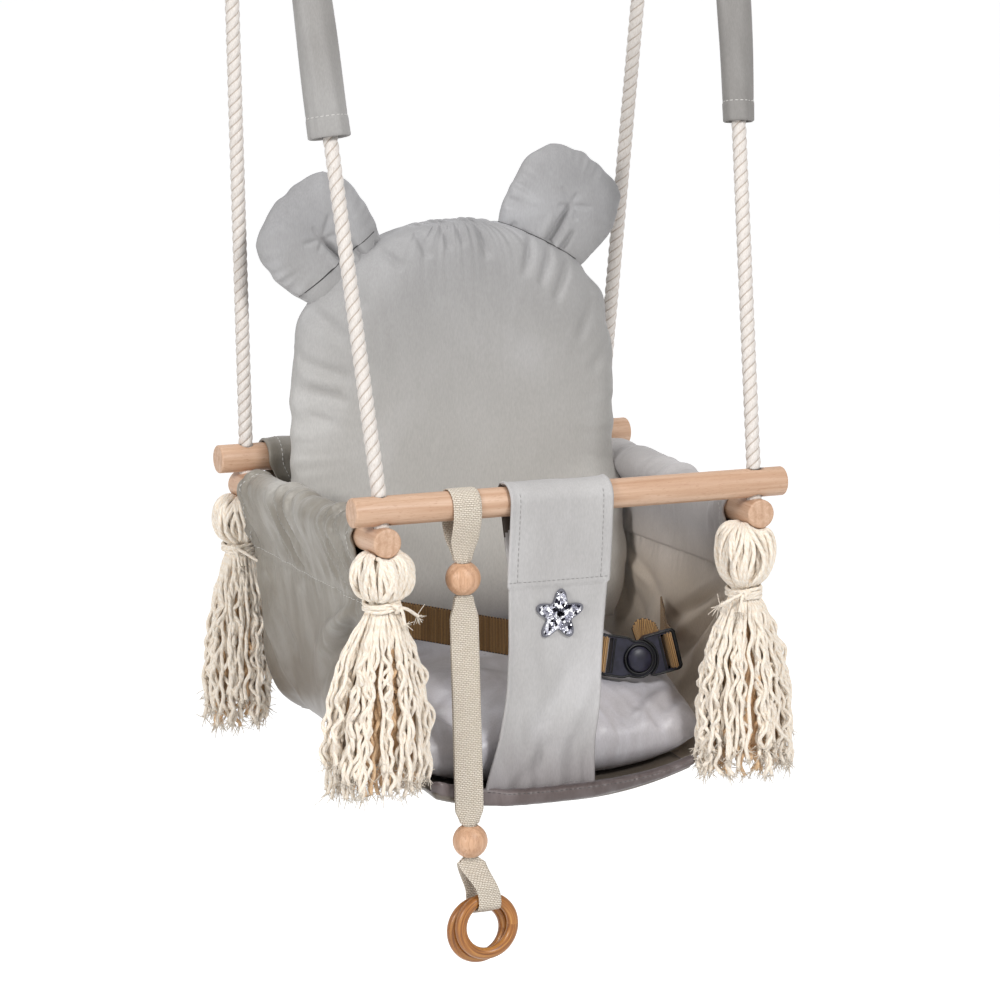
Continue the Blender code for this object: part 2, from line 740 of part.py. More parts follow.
def make_side_panel(name, side, surface):
    grid = []
    for j in range(PANEL_COLUMNS + 1):
        y = mix(PANEL_FRONT_Y, PANEL_REAR_Y, j / PANEL_COLUMNS)
        sleeve = [Vector((side * x, y, z)) for x, z in cloth_sleeve(HALF_X, SIDE_DOWEL_Z, PANEL_SEAM_DROP)]
        line = sleeve[:-1] + smooth_path([(side * x, y, z) for x, z in side_profile(y)], PANEL_ROWS)
        shaped = []
        for p in line:
            below = smoothstep(FOLD_TOP_Z, FOLD_FULL_Z, p.z) * smoothstep(FOLD_FOOT_Z, FOLD_EASE_Z, p.z)
            fold = math.sin(48 * (p.y + 0.35 * p.z) + 1.3 * side) + 0.6 * math.sin(95 * (p.y + 0.2 * p.z))
            shaped.append(p + Vector((side * FOLD_DEPTH * fold * below, 0, 0)))
        grid.append(shaped)
    cloth(name, grid, CLOTH, surface)


def make_back_panel(surface):
    """Hangs from the rear dowel behind the cushions, down to the seat bottom's rear edge."""
    seam_z = -PANEL_SEAM_DROP
    sleeve = [Vector((0, y, z)) for y, z in cloth_sleeve(HALF_Y, 0, PANEL_SEAM_DROP)]
    foot_y = BASE_REAR_Y + SOFT_GAP + CLOTH / 2
    foot_z = base_height(BASE_REAR_Y) - BASE_THICKNESS / 2
    steps = PANEL_ROWS - 3
    foot = Vector((0, foot_y, foot_z))
    below = [sleeve[-1].lerp(foot, i / steps) for i in range(1, steps + 1)]
    grid = []
    columns = 10
    for j in range(columns + 1):
        u = -1 + 2 * j / columns
        shaped = []
        lift = BASE_EDGE_RISE * abs(u) ** 3
        for p in sleeve + below:
            half = mix(BACK_PANEL_HALF_WIDTH, BACK_PANEL_WAIST, smoothstep(0, -0.026, p.z))
            half = mix(half, BASE_HALF_WIDTH + 0.010, smoothstep(seam_z, foot_z, p.z))
            wave = FOLD_DEPTH * 0.6 * math.sin(5 * u + 20 * p.z) * smoothstep(seam_z, -0.12, p.z)
            wave *= smoothstep(foot_z, foot_z + 0.05, p.z)
            shaped.append(Vector((u * half, p.y + wave, p.z + lift * smoothstep(seam_z, foot_z, p.z))))
        grid.append(shaped)
    cloth("back_panel", grid, CLOTH, surface)


def base_surface(x, y):
    return base_height(y) + BASE_EDGE_RISE * (abs(x) / BASE_HALF_WIDTH) ** 3


def make_seat_bottom(surface):
    grid = []
    columns, rows = 12, 10
    for i in range(rows + 1):
        y = mix(BASE_FRONT_Y, BASE_REAR_Y, i / rows)
        across = [mix(-BASE_HALF_WIDTH, BASE_HALF_WIDTH, j / columns) for j in range(columns + 1)]
        grid.append([Vector((x, y, base_surface(x, y))) for x in across])
    cloth("seat_bottom", grid, BASE_THICKNESS, surface)


def make_crotch_panel(surface):
    """Loops over the front dowel and runs down to the seat bottom's front edge."""
    step = math.pi / SLEEVE_ARC_STEPS
    radius = SLEEVE_INNER_R / math.cos(step / 2) + CLOTH / 2
    front = -HALF_Y
    lap = CLOTH + SOFT_GAP
    seam_z = -CROTCH_SEAM_DROP
    foot_y = BASE_FRONT_Y - SOFT_GAP - CLOTH
    foot_z = base_height(BASE_FRONT_Y) + BASE_THICKNESS * 0.2
    seam_y = mix(front - radius, foot_y, seam_z / foot_z)
    hem = Vector((0, seam_y + lap, seam_z))
    arc = [
        Vector((0, front + radius * math.cos(step * i), radius * math.sin(step * i)))
        for i in range(SLEEVE_ARC_STEPS + 1)
    ]
    rise = [hem.lerp(arc[0], t) for t in (0.0, 0.35, 0.7)]
    steps = 14
    fall = [
        Vector((0, mix(front - radius, foot_y, i / steps), foot_z * i / steps)) for i in range(1, steps + 1)
    ]
    line = rise + arc + fall
    columns = 5
    grid = []
    for p in line:
        middle = mix(CROTCH_X, CROTCH_FOOT_X, smoothstep(CROTCH_LEAN_Z, foot_z, p.z))
        width = mix(CROTCH_WIDTH, CROTCH_WAIST_WIDTH, smoothstep(-0.06, -0.13, p.z))
        width = mix(width, CROTCH_FOOT_WIDTH, smoothstep(-0.20, foot_z, p.z))
        grid.append([Vector((middle + width * (j / columns - 0.5), p.y, p.z)) for j in range(columns + 1)])
    cloth("crotch_panel", grid, CLOTH, surface)
    slope = (foot_y - (front - radius)) / foot_z
    return front - radius, slope


def make_star(front_y, slope, surface):
    """A padded five-pointed star sewn to the crotch panel."""
    normal = Vector((0, -1, slope)).normalized()
    up = Vector((0, slope, 1)).normalized()
    across = Vector((1, 0, 0))
    centre = Vector((STAR_X, front_y + slope * STAR_Z, STAR_Z)) + normal * (CLOTH / 2 + GAP)
    rings = []
    for scale, lift in ((1.0, 0.0), (1.0, 0.55), (0.80, 1.0), (0.25, 0.92)):
        ring = []
        for i in range(20):
            angle = math.radians(90 - 7) + 2 * math.pi * i / 20
            phase = i % 4
            radius = STAR_R * scale * (1.0 if phase == 0 else 0.50 if phase == 2 else 0.70)
            spot = across * radius * math.cos(angle) + up * radius * math.sin(angle)
            ring.append(centre + spot + normal * STAR_THICKNESS * lift)
        rings.append(ring)
    loft("star_patch", rings, surface)


def cushion_profile(t, power, root):
    return max(1 - abs(t) ** power, 0) ** root


def seat_cushion_spot(u, v):
    """A point of the seat cushion's seam plane."""
    middle_y = (SEAT_CUSHION_FRONT_Y + SEAT_CUSHION_REAR_Y) / 2
    half_y = (SEAT_CUSHION_REAR_Y - SEAT_CUSHION_FRONT_Y) / 2
    x = SEAT_CUSHION_HALF_WIDTH * u * math.sqrt(1 - SEAT_CORNER_RATIO * v * v)
    y = middle_y + half_y * v * math.sqrt(1 - SEAT_CORNER_RATIO * u * u)
    return Vector((x, y, base_height(y) + BASE_THICKNESS / 2 + SEAT_CUSHION_HEIGHT * SEAT_CUSHION_SEAM_RATIO))


def seat_cushion_top(u, v):
    """How far the seat cushion's top stands above its seam plane."""
    crown = 0.80 - SEAT_CUSHION_SEAM_RATIO + 0.09 * v + 0.11 * (1 - u * u) * (1 - v * v)
    return SEAT_CUSHION_HEIGHT * crown * cushion_profile(u, 8, 0.36) * cushion_profile(v, 4, 0.42)


def make_seat_cushion(surface):
    """A deep pad that lies in the sling, low and round at its front."""

    def top(u, v):
        return Vector((0, 0, seat_cushion_top(u, v)))

    def bottom(u, v):
        spot = seat_cushion_spot(u, v)
        floor = base_surface(min(abs(spot.x), BASE_HALF_WIDTH), spot.y) + BASE_THICKNESS / 2 + GAP * 2
        side_lift = 0.020 * smoothstep(0.78, 1.0, abs(spot.x) / SEAT_CUSHION_HALF_WIDTH)
        deepest = floor + side_lift - spot.z
        return Vector((0, 0, deepest * cushion_profile(u, 8, 0.42) * cushion_profile(v, 8, 0.42)))

    pillow("seat_cushion", 14, 14, seat_cushion_spot, top, bottom, surface)


def back_half_width(z):
    """Half the back cushion's width at a height: straight sides, then a broad dome."""
    span = BACK_CUSHION_TOP_Z - BACK_CUSHION_SHOULDER_Z
    t = min(max((z - BACK_CUSHION_SHOULDER_Z) / span, 0), 1)
    return BACK_CUSHION_HALF_WIDTH * math.sqrt(max(1 - t**3.5, 0.0))


def back_cushion_foot():
    """The back cushion stands on the seat cushion."""
    half_y = (SEAT_CUSHION_REAR_Y - SEAT_CUSHION_FRONT_Y) / 2
    v = (BACK_CUSHION_Y - (SEAT_CUSHION_FRONT_Y + SEAT_CUSHION_REAR_Y) / 2) / half_y
    return seat_cushion_spot(0, v).z + seat_cushion_top(0, v) + GAP


def back_cushion_place(u, v):
    foot = back_cushion_foot()
    t = (v + 1) / 2
    eased = t if t < 0.6 else mix(0.6, 1.0, math.sin(math.pi / 2 * (t - 0.6) / 0.4))
    z = mix(foot, BACK_CUSHION_TOP_Z - BACK_CUSHION_CROWN, eased)
    half = back_half_width(z) * (1 - 0.10 * smoothstep(0.12, 0.0, t))
    crown = BACK_CUSHION_CROWN * (1 - u * u) * smoothstep(0.8, 1.0, t)
    return Vector((BACK_CUSHION_X + half * u, BACK_CUSHION_Y, z + crown))


def back_cushion_rise(u, v):
    return cushion_profile(u, 3.6, 0.55) * cushion_profile(v, 5.0, 0.55)


def make_back_cushion(surface, name="back_cushion", grow=0.0):
    def front(u, v):
        return Vector((0, -(BACK_CUSHION_FRONT + grow) * back_cushion_rise(u, v), 0))

    def back(u, v):
        return Vector((0, (BACK_CUSHION_BACK + grow) * back_cushion_rise(u, v), 0))

    def place(u, v):
        spot = back_cushion_place(u, v)
        spot.x += grow * u
        spot.z += grow * v
        return spot

    return pillow(name, 14, 18, place, front, back, surface)


def make_ear(name, side, surface):
    """A rounded pad whose broad base runs into the back cushion's rim."""
    lean = math.radians(LEFT_EAR_LEAN if side == LEFT else RIGHT_EAR_LEAN)
    out = Vector((side * math.sin(lean), 0, math.cos(lean)))
    across = Vector((math.cos(lean), 0, -side * math.sin(lean)))
    place_x, place_z = LEFT_EAR_CENTRE if side == LEFT else RIGHT_EAR_CENTRE
    centre = Vector((place_x, BACK_CUSHION_Y, place_z))

    def place(u, v):
        wide = EAR_HALF_WIDTH * (1 - 0.10 * v) * u * math.sqrt(1 - 0.40 * v * v)
        tall = EAR_HALF_HEIGHT * v * math.sqrt(1 - 0.40 * u * u)
        return centre + across * wide + out * tall

    def thick(u, v):
        pleat = 1 - 0.45 * math.exp(-((u / 0.14) ** 2)) * smoothstep(0.35, -0.5, v)
        return EAR_THICKNESS / 2 * cushion_profile(u, 3, 0.5) * cushion_profile(v, 3, 0.5) * pleat

    def front(u, v):
        return Vector((0, -thick(u, v), 0))

    def back(u, v):
        return Vector((0, thick(u, v), 0))

    ear = pillow(name, 10, 10, place, front, back, surface)
    cut(ear, make_back_cushion(None, f"{name}_trim", grow=SOFT_GAP))


def strap_x(drop):
    """The strap hangs a little aslant, and bends further below its lower bead."""
    below = smoothstep(LOWER_BEAD_DROP + BEAD_R, TOY_RING_DROP, drop)
    return STRAP_X + STRAP_BEAD_LEAN * drop / LOWER_BEAD_DROP + STRAP_RING_LEAN * below


def strap_halves(drop):
    """Half the distance between the toy strap's two legs at a drop below the dowel, and its width there."""
    tight = (STRAP_WEB + STRAP_LAYER_GAP) / 2
    open_top = DOWEL_R + SOFT_GAP + STRAP_WEB / 2
    open_foot = 2 * (TOY_RING_BAR_R + GAP) + TOY_RING_SWING_ROOM + STRAP_WEB / 2
    upper = smoothstep(UPPER_BEAD_DROP - BEAD_R, 0.004, drop)
    lower = smoothstep(LOWER_BEAD_DROP + BEAD_R * 1.1, TOY_RING_DROP - 2 * TOY_RING_BAR_R, drop)
    half = tight + (open_top - tight) * upper + (open_foot - tight) * lower
    width = STRAP_WIDTH
    for bead in (UPPER_BEAD_DROP, LOWER_BEAD_DROP):
        near = smoothstep(BEAD_R + 0.020, BEAD_R + 0.005, abs(drop - bead))
        width = mix(width, STRAP_PINCH_WIDTH, near)
    return half, min(width, mix(STRAP_WIDTH, STRAP_RING_WIDTH, lower))


def make_toy_strap(surface, parent):
    """One band of webbing: over the dowel, down through both beads and round the toy rings."""
    front = -HALF_Y
    rows = 34
    legs = []
    for i in range(rows):
        drop = TOY_RING_DROP * i / rows
        half, width = strap_halves(drop)
        legs.append((half, -drop, width))
    open_top = legs[0][0]
    line = [(-half, z, width) for half, z, width in legs]
    bar_y = TOY_RING_BAR_R + GAP
    eye_r = TOY_RING_R - TOY_RING_BAR_R - 2 * GAP
    sag = eye_r - math.sqrt(eye_r**2 - (STRAP_RING_WIDTH / 2) ** 2) + GAP
    bend = (bar_y + TOY_RING_SWING_ROOM + STRAP_WEB / 2) / math.cos(math.pi / 16)
    for bar, first in ((-bar_y, 0), (bar_y, 4)):
        for i in range(first, first + 5):
            angle = math.pi * i / 8
            foot = -TOY_RING_DROP + TOY_RING_SWING_ROOM - sag - bend * math.sin(angle)
            line.append((bar - bend * math.cos(angle), foot, STRAP_RING_WIDTH))
    line += [(half, z, width) for half, z, width in reversed(legs)]
    for i in range(1, 12):
        angle = math.pi * i / 12
        line.append((open_top * math.cos(angle), open_top * math.sin(angle), STRAP_WIDTH))
    rings = []
    for i, (y, z, width) in enumerate(line):
        before, after = line[i - 1], line[(i + 1) % len(line)]
        way = Vector((0, after[0] - before[0], after[1] - before[1])).normalized()
        normal = Vector((0, way.z, -way.y)) * STRAP_WEB / 2
        at = Vector((strap_x(-z), front + y, z))
        half = Vector((width / 2, 0, 0))
        rings.append([at - half - normal, at + half - normal, at + half + normal, at - half + normal])
    loft("toy_strap", rings, surface, parent, closed=True)


def make_bead(name, drop, surface, parent):
    sides, rows = 18, 9
    start = math.asin(BEAD_HOLE_R / BEAD_R)
    profile = []
    for i in range(rows + 1):
        angle = mix(start, math.pi - start, i / rows)
        profile.append((BEAD_R * math.sin(angle), -BEAD_R * math.cos(angle)))
    turned(name, (strap_x(drop), -HALF_Y, -drop), profile, sides, surface, parent, closed=True)


def toy_ring_bar(end):
    return Vector((strap_x(TOY_RING_DROP), -HALF_Y + end * (TOY_RING_BAR_R + GAP), -TOY_RING_DROP))


def make_toy_ring(name, end, surface, parent):
    centre = toy_ring_bar(end) - Vector((0, 0, TOY_RING_R))
    ring_solid(name, centre, TOY_RING_R, TOY_RING_BAR_R, (1, 0, 0), (0, 0, 1), 24, 8, surface, parent)


def make_webbing(name, stations, surface, parent=None):
    """Flat webbing along stations of (middle, direction across the webbing)."""
    grid = [[p - across * WEB_WIDTH / 2, p + across * WEB_WIDTH / 2] for p, across in stations]
    return cloth(name, grid, WEB, surface, parent)


def buckle_place(x, y, z, bend=0.0):
    """A point of the buckle, from its own right, rear and up, turned by its half's bend about the button."""
    turn = Matrix.Rotation(BUCKLE_TURN, 3, "Z") @ Matrix.Rotation(-BUCKLE_LEAN, 3, "X")
    half = Matrix.Rotation(bend, 3, "Y")
    return Vector(BUCKLE_CENTRE) + turn @ (half @ Vector((x, y, z)))


def buckle_slab(name, outline, depths, bend, surface=None, parent=None):
    """A plate of the buckle from its outline, as (depth, scale) pairs from its front to its back."""
    rings = [[buckle_place(x * scale, depth, z * scale, bend) for x, z in outline] for depth, scale in depths]
    return loft(name, rings, surface, parent, smooth=False)


def buckle_box(name, x0, x1, y0, y1, z0, z1, bend):
    corners = [(x0, z0), (x1, z0), (x1, z1), (x0, z1)]
    rings = [[buckle_place(x, y, z, bend) for x, z in corners] for y in (y0, y1)]
    return loft(name, rings, None, smooth=False)


def buckle_arc(radius, first, last, steps):
    """Part of the buckle's round hub, as (right, up) pairs."""
    angles = [math.radians(mix(first, last, i / steps)) for i in range(steps + 1)]
    return [(radius * math.cos(a), radius * math.sin(a)) for a in angles]


def buckle_end(side):
    """The square end of one half of the buckle, with cut corners."""
    half = BUCKLE_HEIGHT / 2
    return [
        (side * (BUCKLE_REACH - BUCKLE_CORNER), -side * half),
        (side * BUCKLE_REACH, -side * (half - BUCKLE_CORNER)),
        (side * BUCKLE_REACH, side * (half - BUCKLE_CORNER)),
        (side * (BUCKLE_REACH - BUCKLE_CORNER), side * half),
    ]


def web_slot(name, side, bend):
    """The slot that the webbing passes through, open at both faces of the buckle."""
    outer = side * (BUCKLE_REACH - SLOT_BAR)
    inner = side * (BUCKLE_REACH - SLOT_BAR - SLOT_LENGTH)
    reach = WEB_WIDTH / 2 + GAP
    low, high = min(outer, inner), max(outer, inner)
    return buckle_box(name, low, high, -BUCKLE_HEIGHT, BUCKLE_HEIGHT, -reach, reach, bend)


def make_socket(plastic):
    half = BUCKLE_HEIGHT / 2
    depth = BUCKLE_THICKNESS / 2
    room = GAP * 2
    shrink = 1 - BUCKLE_EDGE / BUCKLE_HEIGHT
    depths = [(-depth, shrink), (-depth + BUCKLE_EDGE, 1), (depth - BUCKLE_EDGE, 1), (depth, shrink)]
    outline = buckle_arc(BUCKLE_HUB_R, -112, 112, 12) + [(-BUCKLE_NECK, half)]
    outline += buckle_end(LEFT) + [(-BUCKLE_NECK, -half)]
    socket = buckle_slab("buckle_socket", outline, depths, BUCKLE_BEND, plastic)
    cut(socket, web_slot("socket_web_slot", LEFT, BUCKLE_BEND))
    cavity_depth = TONGUE_THICKNESS / 2 + room
    cavity_half = TONGUE_WIDTH / 2 + room
    cavity = buckle_box(
        "socket_cavity",
        BUCKLE_HUB_R - TONGUE_LENGTH - room,
        BUCKLE_HUB_R * 2,
        -cavity_depth,
        cavity_depth,
        -cavity_half,
        cavity_half,
        -BUCKLE_BEND,
    )
    cut(socket, cavity)
    well_top = buckle_place(0, -depth - BUTTON_HEIGHT, 0)
    well_floor = buckle_place(0, GAP - TONGUE_THICKNESS / 2, 0)
    cut(socket, cylinder("socket_button_well", well_top, well_floor, BUTTON_R + room, 20))


def make_insert(plastic, parent):
    half = BUCKLE_HEIGHT / 2
    depth = BUCKLE_THICKNESS / 2
    bend = -BUCKLE_BEND
    hub = buckle_arc(BUCKLE_HUB_R + GAP * 2, 62, -62, 8)
    plate = [(BUCKLE_NECK, half)] + hub + [(BUCKLE_NECK, -half)] + buckle_end(RIGHT)
    insert = buckle_slab("buckle_insert", plate, [(-depth, 1), (depth, 1)], bend, plastic, parent)
    cut(insert, web_slot("insert_web_slot", RIGHT, bend))
    root, tip = BUCKLE_HUB_R + SLOT_BAR, BUCKLE_HUB_R - TONGUE_LENGTH
    reach = TONGUE_WIDTH / 2
    corners = [(tip, -reach), (root, -reach), (root, reach), (tip, reach)]
    depths = [(-TONGUE_THICKNESS / 2, 1), (TONGUE_THICKNESS / 2, 1)]
    tongue = buckle_slab("insert_tongue", corners, depths, bend)
    tongue.hide_render = True
    tongue.display_type = "WIRE"
    fuse = insert.modifiers.new("tongue", "BOOLEAN")
    fuse.operation = "UNION"
    fuse.solver = "EXACT"
    fuse.object = tongue


def make_button(plastic, parent):
    """A round button with a low dome that stands proud of the socket."""
    sides = 20
    face = -BUCKLE_THICKNESS / 2
    foot = face - BUTTON_DOME * 0.1 + BUTTON_HEIGHT * 0.45
    profile = [
        (BUTTON_R * 0.55, face - BUTTON_DOME),
        (BUTTON_R * 0.90, face - BUTTON_DOME * 0.55),
        (BUTTON_R, face - BUTTON_DOME * 0.1),
        (BUTTON_R, foot),
    ]
    angles = [2 * math.pi * i / sides for i in range(sides)]
    rings = [[buckle_place(r * math.cos(a), y, r * math.sin(a)) for a in angles] for r, y in profile]
    loft("buckle_button", rings, plastic, parent)


def belt_end(side):
    """How the webbing takes its slot's bar: up behind it, through the slot to the front and back outwards."""
    bend = -side * BUCKLE_BEND
    bar_out = BUCKLE_REACH + GAP * 3
    bar_in = BUCKLE_REACH - SLOT_BAR
    lift = BUCKLE_THICKNESS / 2 + GAP * 2 + WEB / 2
    inner = bar_in - GAP * 2 - WEB / 2
    places = [(BUCKLE_REACH + BELT_LEAD, lift * 0.55), (bar_out, lift), (bar_in, lift), (inner, lift * 0.80)]
    places += [(inner, 0.0), (inner, -lift * 0.80), (bar_in, -lift), (bar_out, -lift)]
    across = buckle_place(0, 0, 1, bend) - buckle_place(0, 0, 0, bend)
    return [(buckle_place(side * x, y, 0, bend), across) for x, y in places]


def belt_run(way, end, steps, turn_from):
    """Webbing stations along a way to the buckle. It stands upright first and then lies as its slot does."""
    stations = []
    for i, p in enumerate(smooth_path(way + [tuple(end[0][0])], steps)[:-1]):
        lie = Vector((0, 0, 1)).lerp(end[0][1], smoothstep(turn_from, steps, i))
        stations.append((p, lie.normalized()))
    return stations


def make_belt(surface):
    """Webbing from each side panel to the buckle. The left end is sewn back and the right end is loose."""
    end = belt_end(LEFT)
    inset, y, z = BELT_LEFT_START
    stations = belt_run([(inset - HALF_X, y, z)] + BELT_LEFT_WAY, end, 14, 9)
    sewn = end[0][0] - stations[-2][0]
    outward = buckle_place(0, -1, 0, BUCKLE_BEND) - buckle_place(0, 0, 0, BUCKLE_BEND)
    lap = outward * (WEB + SOFT_GAP * 2)
    tail = [(end[0][0] + lap, end[0][1]), (end[0][0] - sewn * 0.6 + lap, end[0][1])]
    make_webbing("belt_left", stations + end + tail, surface)

    end = belt_end(RIGHT)
    front = end[-1][0]
    way = [(HALF_X - inset, y, z) for inset, y, z in BELT_RIGHT_WAY]
    tail = []
    for step, lean in zip(BELT_TAIL_WAY, BELT_TAIL_LEANS):
        tail.append((front + Vector(step), Vector((lean, 0, 1)).normalized()))
    make_webbing("belt_right", belt_run(way, end, 8, 3) + end + tail, surface)


clear_scene()

LINEN = material("velour", (0.42, 0.41, 0.38), 0.75)
PALE = material("velour_pale", (0.50, 0.49, 0.47), 0.75)
BEECH = material("beech", (0.66, 0.43, 0.27), 0.5)
RING_WOOD = material("ring_wood", (0.60, 0.34, 0.12), 0.4)
COTTON = material("cotton_rope", (0.80, 0.77, 0.72), 0.9)
TASSEL = material("tassel_cotton", (0.86, 0.80, 0.68), 0.9)
STRAP = material("strap_webbing", (0.74, 0.68, 0.54), 0.85)
BELT = material("belt_webbing", (0.36, 0.26, 0.13), 0.8)
PLASTIC = material("buckle_plastic", (0.02, 0.02, 0.035), 0.4)
STEEL = material("ring_steel", (0.62, 0.62, 0.62), 0.3, 1.0)
STAR = material("star_sequins", (0.62, 0.62, 0.66), 0.3, 0.7)

SEAT_ORIGIN = linked(bpy.data.objects.new("seat_origin", None))
hang_points = [ring_bar_place(side, end) for side, end in CORNERS.values()]
hang_middle = sum(hang_points, Vector()) / len(hang_points)
SEAT_ORIGIN.location = -Vector((0, hang_middle.y, hang_middle.z))

front_bar = ring_bar_place(LEFT, FRONT)
front_ropes = pivot("front_ropes_pivot", (0, front_bar.y, front_bar.z))
rear_ropes = pivot("rear_ropes_pivot", Vector((0, HALF_Y, 0)))
strap_turn = pivot("toy_strap_pivot", Vector((STRAP_X, -HALF_Y, 0)))

for end, label in ((FRONT, "front"), (REAR, "rear")):
    dowel(f"{label}_dowel", (0, end * HALF_Y, 0), (1, 0, 0), ROPE_SPACING_X + 2 * CROSS_DOWEL_END, BEECH)
for side, label in ((LEFT, "left"), (RIGHT, "right")):
    place = (side * HALF_X, 0, SIDE_DOWEL_Z)
    dowel(f"{label}_side_dowel", place, (0, 1, 0), ROPE_SPACING_Y + 2 * SIDE_DOWEL_END, BEECH)

for corner, (side, end) in CORNERS.items():
    ropes = front_ropes if end == FRONT else rear_ropes
    make_rope(corner, COTTON, ropes)
    make_seizing(corner, COTTON, ropes)
    make_hang_ring(corner, STEEL)
    make_knot(corner, COTTON)
    make_tassel(corner, TASSEL)
    make_skirt(corner, TASSEL, pivot(f"tassel_pivot_{corner}", skirt_pivot(corner)))

for label, corner in (("left", "fl"), ("right", "fr")):
    foot, along = rope_line(*CORNERS[corner])
    slider = pivot(f"grip_{label}_slider", foot + along * sleeve_low(along))
    make_sleeve(f"grip_sleeve_{label}", corner, LINEN, slider)

make_side_panel("left_panel", LEFT, LINEN)
make_side_panel("right_panel", RIGHT, LINEN)
make_back_panel(LINEN)
make_seat_bottom(LINEN)
panel_front, panel_slope = make_crotch_panel(PALE)
make_star(panel_front, panel_slope, STAR)
make_seat_cushion(LINEN)
make_back_cushion(LINEN)
make_ear("left_ear", LEFT, LINEN)
make_ear("right_ear", RIGHT, LINEN)

make_toy_strap(STRAP, strap_turn)
make_bead("upper_bead", UPPER_BEAD_DROP, BEECH, strap_turn)
make_bead("lower_bead", LOWER_BEAD_DROP, BEECH, strap_turn)
for label, end in (("front", FRONT), ("rear", REAR)):
    ring_turn = pivot(f"toy_ring_{label}_pivot", toy_ring_bar(end))
    make_toy_ring(f"toy_ring_{label}", end, RING_WOOD, ring_turn)

button_slider = pivot("buckle_button_slider", buckle_place(0, 0, 0))
insert_slider = pivot("buckle_insert_slider", buckle_place(BUCKLE_HUB_R, 0, 0, -BUCKLE_BEND))
make_socket(PLASTIC)
make_insert(PLASTIC, insert_slider)
make_button(PLASTIC, button_slider)
make_belt(BELT)
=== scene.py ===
"""The looks of a baby swing seat: ropes, tassels, beech dowels, velour sling and cushions, belt and toys.

Shapes are written in the seat's own place: its zero point is the middle of the upper dowels' axes, the seat
faces -Y and +X is the viewer's right. SEAT moves them into the frame.
"""

import math

import bmesh
import bpy
import numpy as np
from mathutils import Matrix, Vector
from mathutils.bvhtree import BVHTree


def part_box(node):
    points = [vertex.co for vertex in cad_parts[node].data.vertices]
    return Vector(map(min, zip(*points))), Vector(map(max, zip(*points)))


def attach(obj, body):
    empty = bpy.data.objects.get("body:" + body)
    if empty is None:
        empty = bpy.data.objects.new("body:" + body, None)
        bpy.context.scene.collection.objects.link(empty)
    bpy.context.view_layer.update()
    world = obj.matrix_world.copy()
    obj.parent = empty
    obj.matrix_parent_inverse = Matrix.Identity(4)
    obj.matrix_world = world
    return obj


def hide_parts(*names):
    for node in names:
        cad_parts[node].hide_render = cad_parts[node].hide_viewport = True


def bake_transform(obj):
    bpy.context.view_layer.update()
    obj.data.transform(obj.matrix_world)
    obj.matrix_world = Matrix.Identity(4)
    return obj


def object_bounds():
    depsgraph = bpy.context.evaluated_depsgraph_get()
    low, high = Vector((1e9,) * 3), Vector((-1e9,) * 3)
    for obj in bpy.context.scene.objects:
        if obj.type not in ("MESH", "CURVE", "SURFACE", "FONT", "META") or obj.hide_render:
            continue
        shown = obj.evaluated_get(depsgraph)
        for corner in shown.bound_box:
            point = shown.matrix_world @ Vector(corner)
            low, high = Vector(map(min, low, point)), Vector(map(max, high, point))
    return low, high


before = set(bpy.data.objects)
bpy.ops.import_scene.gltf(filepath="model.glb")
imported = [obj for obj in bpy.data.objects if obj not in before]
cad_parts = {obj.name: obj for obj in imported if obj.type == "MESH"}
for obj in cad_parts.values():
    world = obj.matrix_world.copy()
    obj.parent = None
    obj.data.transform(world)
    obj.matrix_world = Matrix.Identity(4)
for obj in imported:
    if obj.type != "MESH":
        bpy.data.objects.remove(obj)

CAD_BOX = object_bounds()
PI = math.pi


def middle(node):
    low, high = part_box(node)
    return (low + high) / 2


# Places and sizes that come from the frame
SEAT = (middle("front_dowel") + middle("rear_dowel")) / 2
HALF_X = middle("right_side_dowel").x
HALF_Y = (middle("rear_dowel") - middle("front_dowel")).y / 2
DOWEL_R = (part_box("front_dowel")[1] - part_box("front_dowel")[0]).z / 2
CROSS_DOWEL_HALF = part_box("front_dowel")[1].x
SIDE_DOWEL_HALF = (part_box("left_side_dowel")[1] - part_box("left_side_dowel")[0]).y / 2
SIDE_DOWEL_Z = middle("left_side_dowel").z - SEAT.z

# Clearances
GAP = 0.0003
SOFT_GAP = 0.0006
THREAD_LIFT = 0.0001
AXIS_R = 1e-5

# Camera and studio
CAMERA_AZIMUTH = math.radians(-24.35)
CAMERA_ELEVATION = math.radians(9.28)
CAMERA_DISTANCE = 4.0
CAMERA_LENS = 165.7
CAMERA_SHIFT = (0.0041, -0.0302)
FLOOR_DROP = 0.45
FLOOR_REACH = 40.0
FLOOR_GLOW = 0.62
LAMP_TARGET = (0, 0, -0.02)
WORLD_LIGHT = 0.40
LAMPS = [
    ("key", (0.7, -3.9, 2.6), 0.9, 118),
    ("fill", (-3.6, -1.5, 1.3), 0.9, 66),
    ("top", (-0.4, 0.6, 3.6), 1.4, 34),
]

# Dowels
DOWEL_EDGE_R = 0.0018
DRILL_HALF_LENGTH = 0.03
DRILL_ROOM = 0.0002

# Ropes, eyes and seizings
ROPE_R = 0.0065
ROPE_SPREAD_RATIO = 0.054
FRONT_LEAN_RATIO = 0.218
REAR_LEAN_RATIO = 0.080
ROPE_LAY = 0.0275
ROPE_STRAND_R = 0.0049
ROPE_SIDES = 24
HANG_HEIGHT = 0.548
FRONT_EYE_GAP = 0.0003
REAR_EYE_GAP = 0.0004
EYE_LEG_SPACING = 0.0142
EYE_BEND_R = 0.0262
EYE_STRAIGHT = 0.022
SEIZING_LENGTH = 0.020
SEIZING_CORD_R = 0.0012
RING_BAR_R = 0.004
RING_R = 0.018

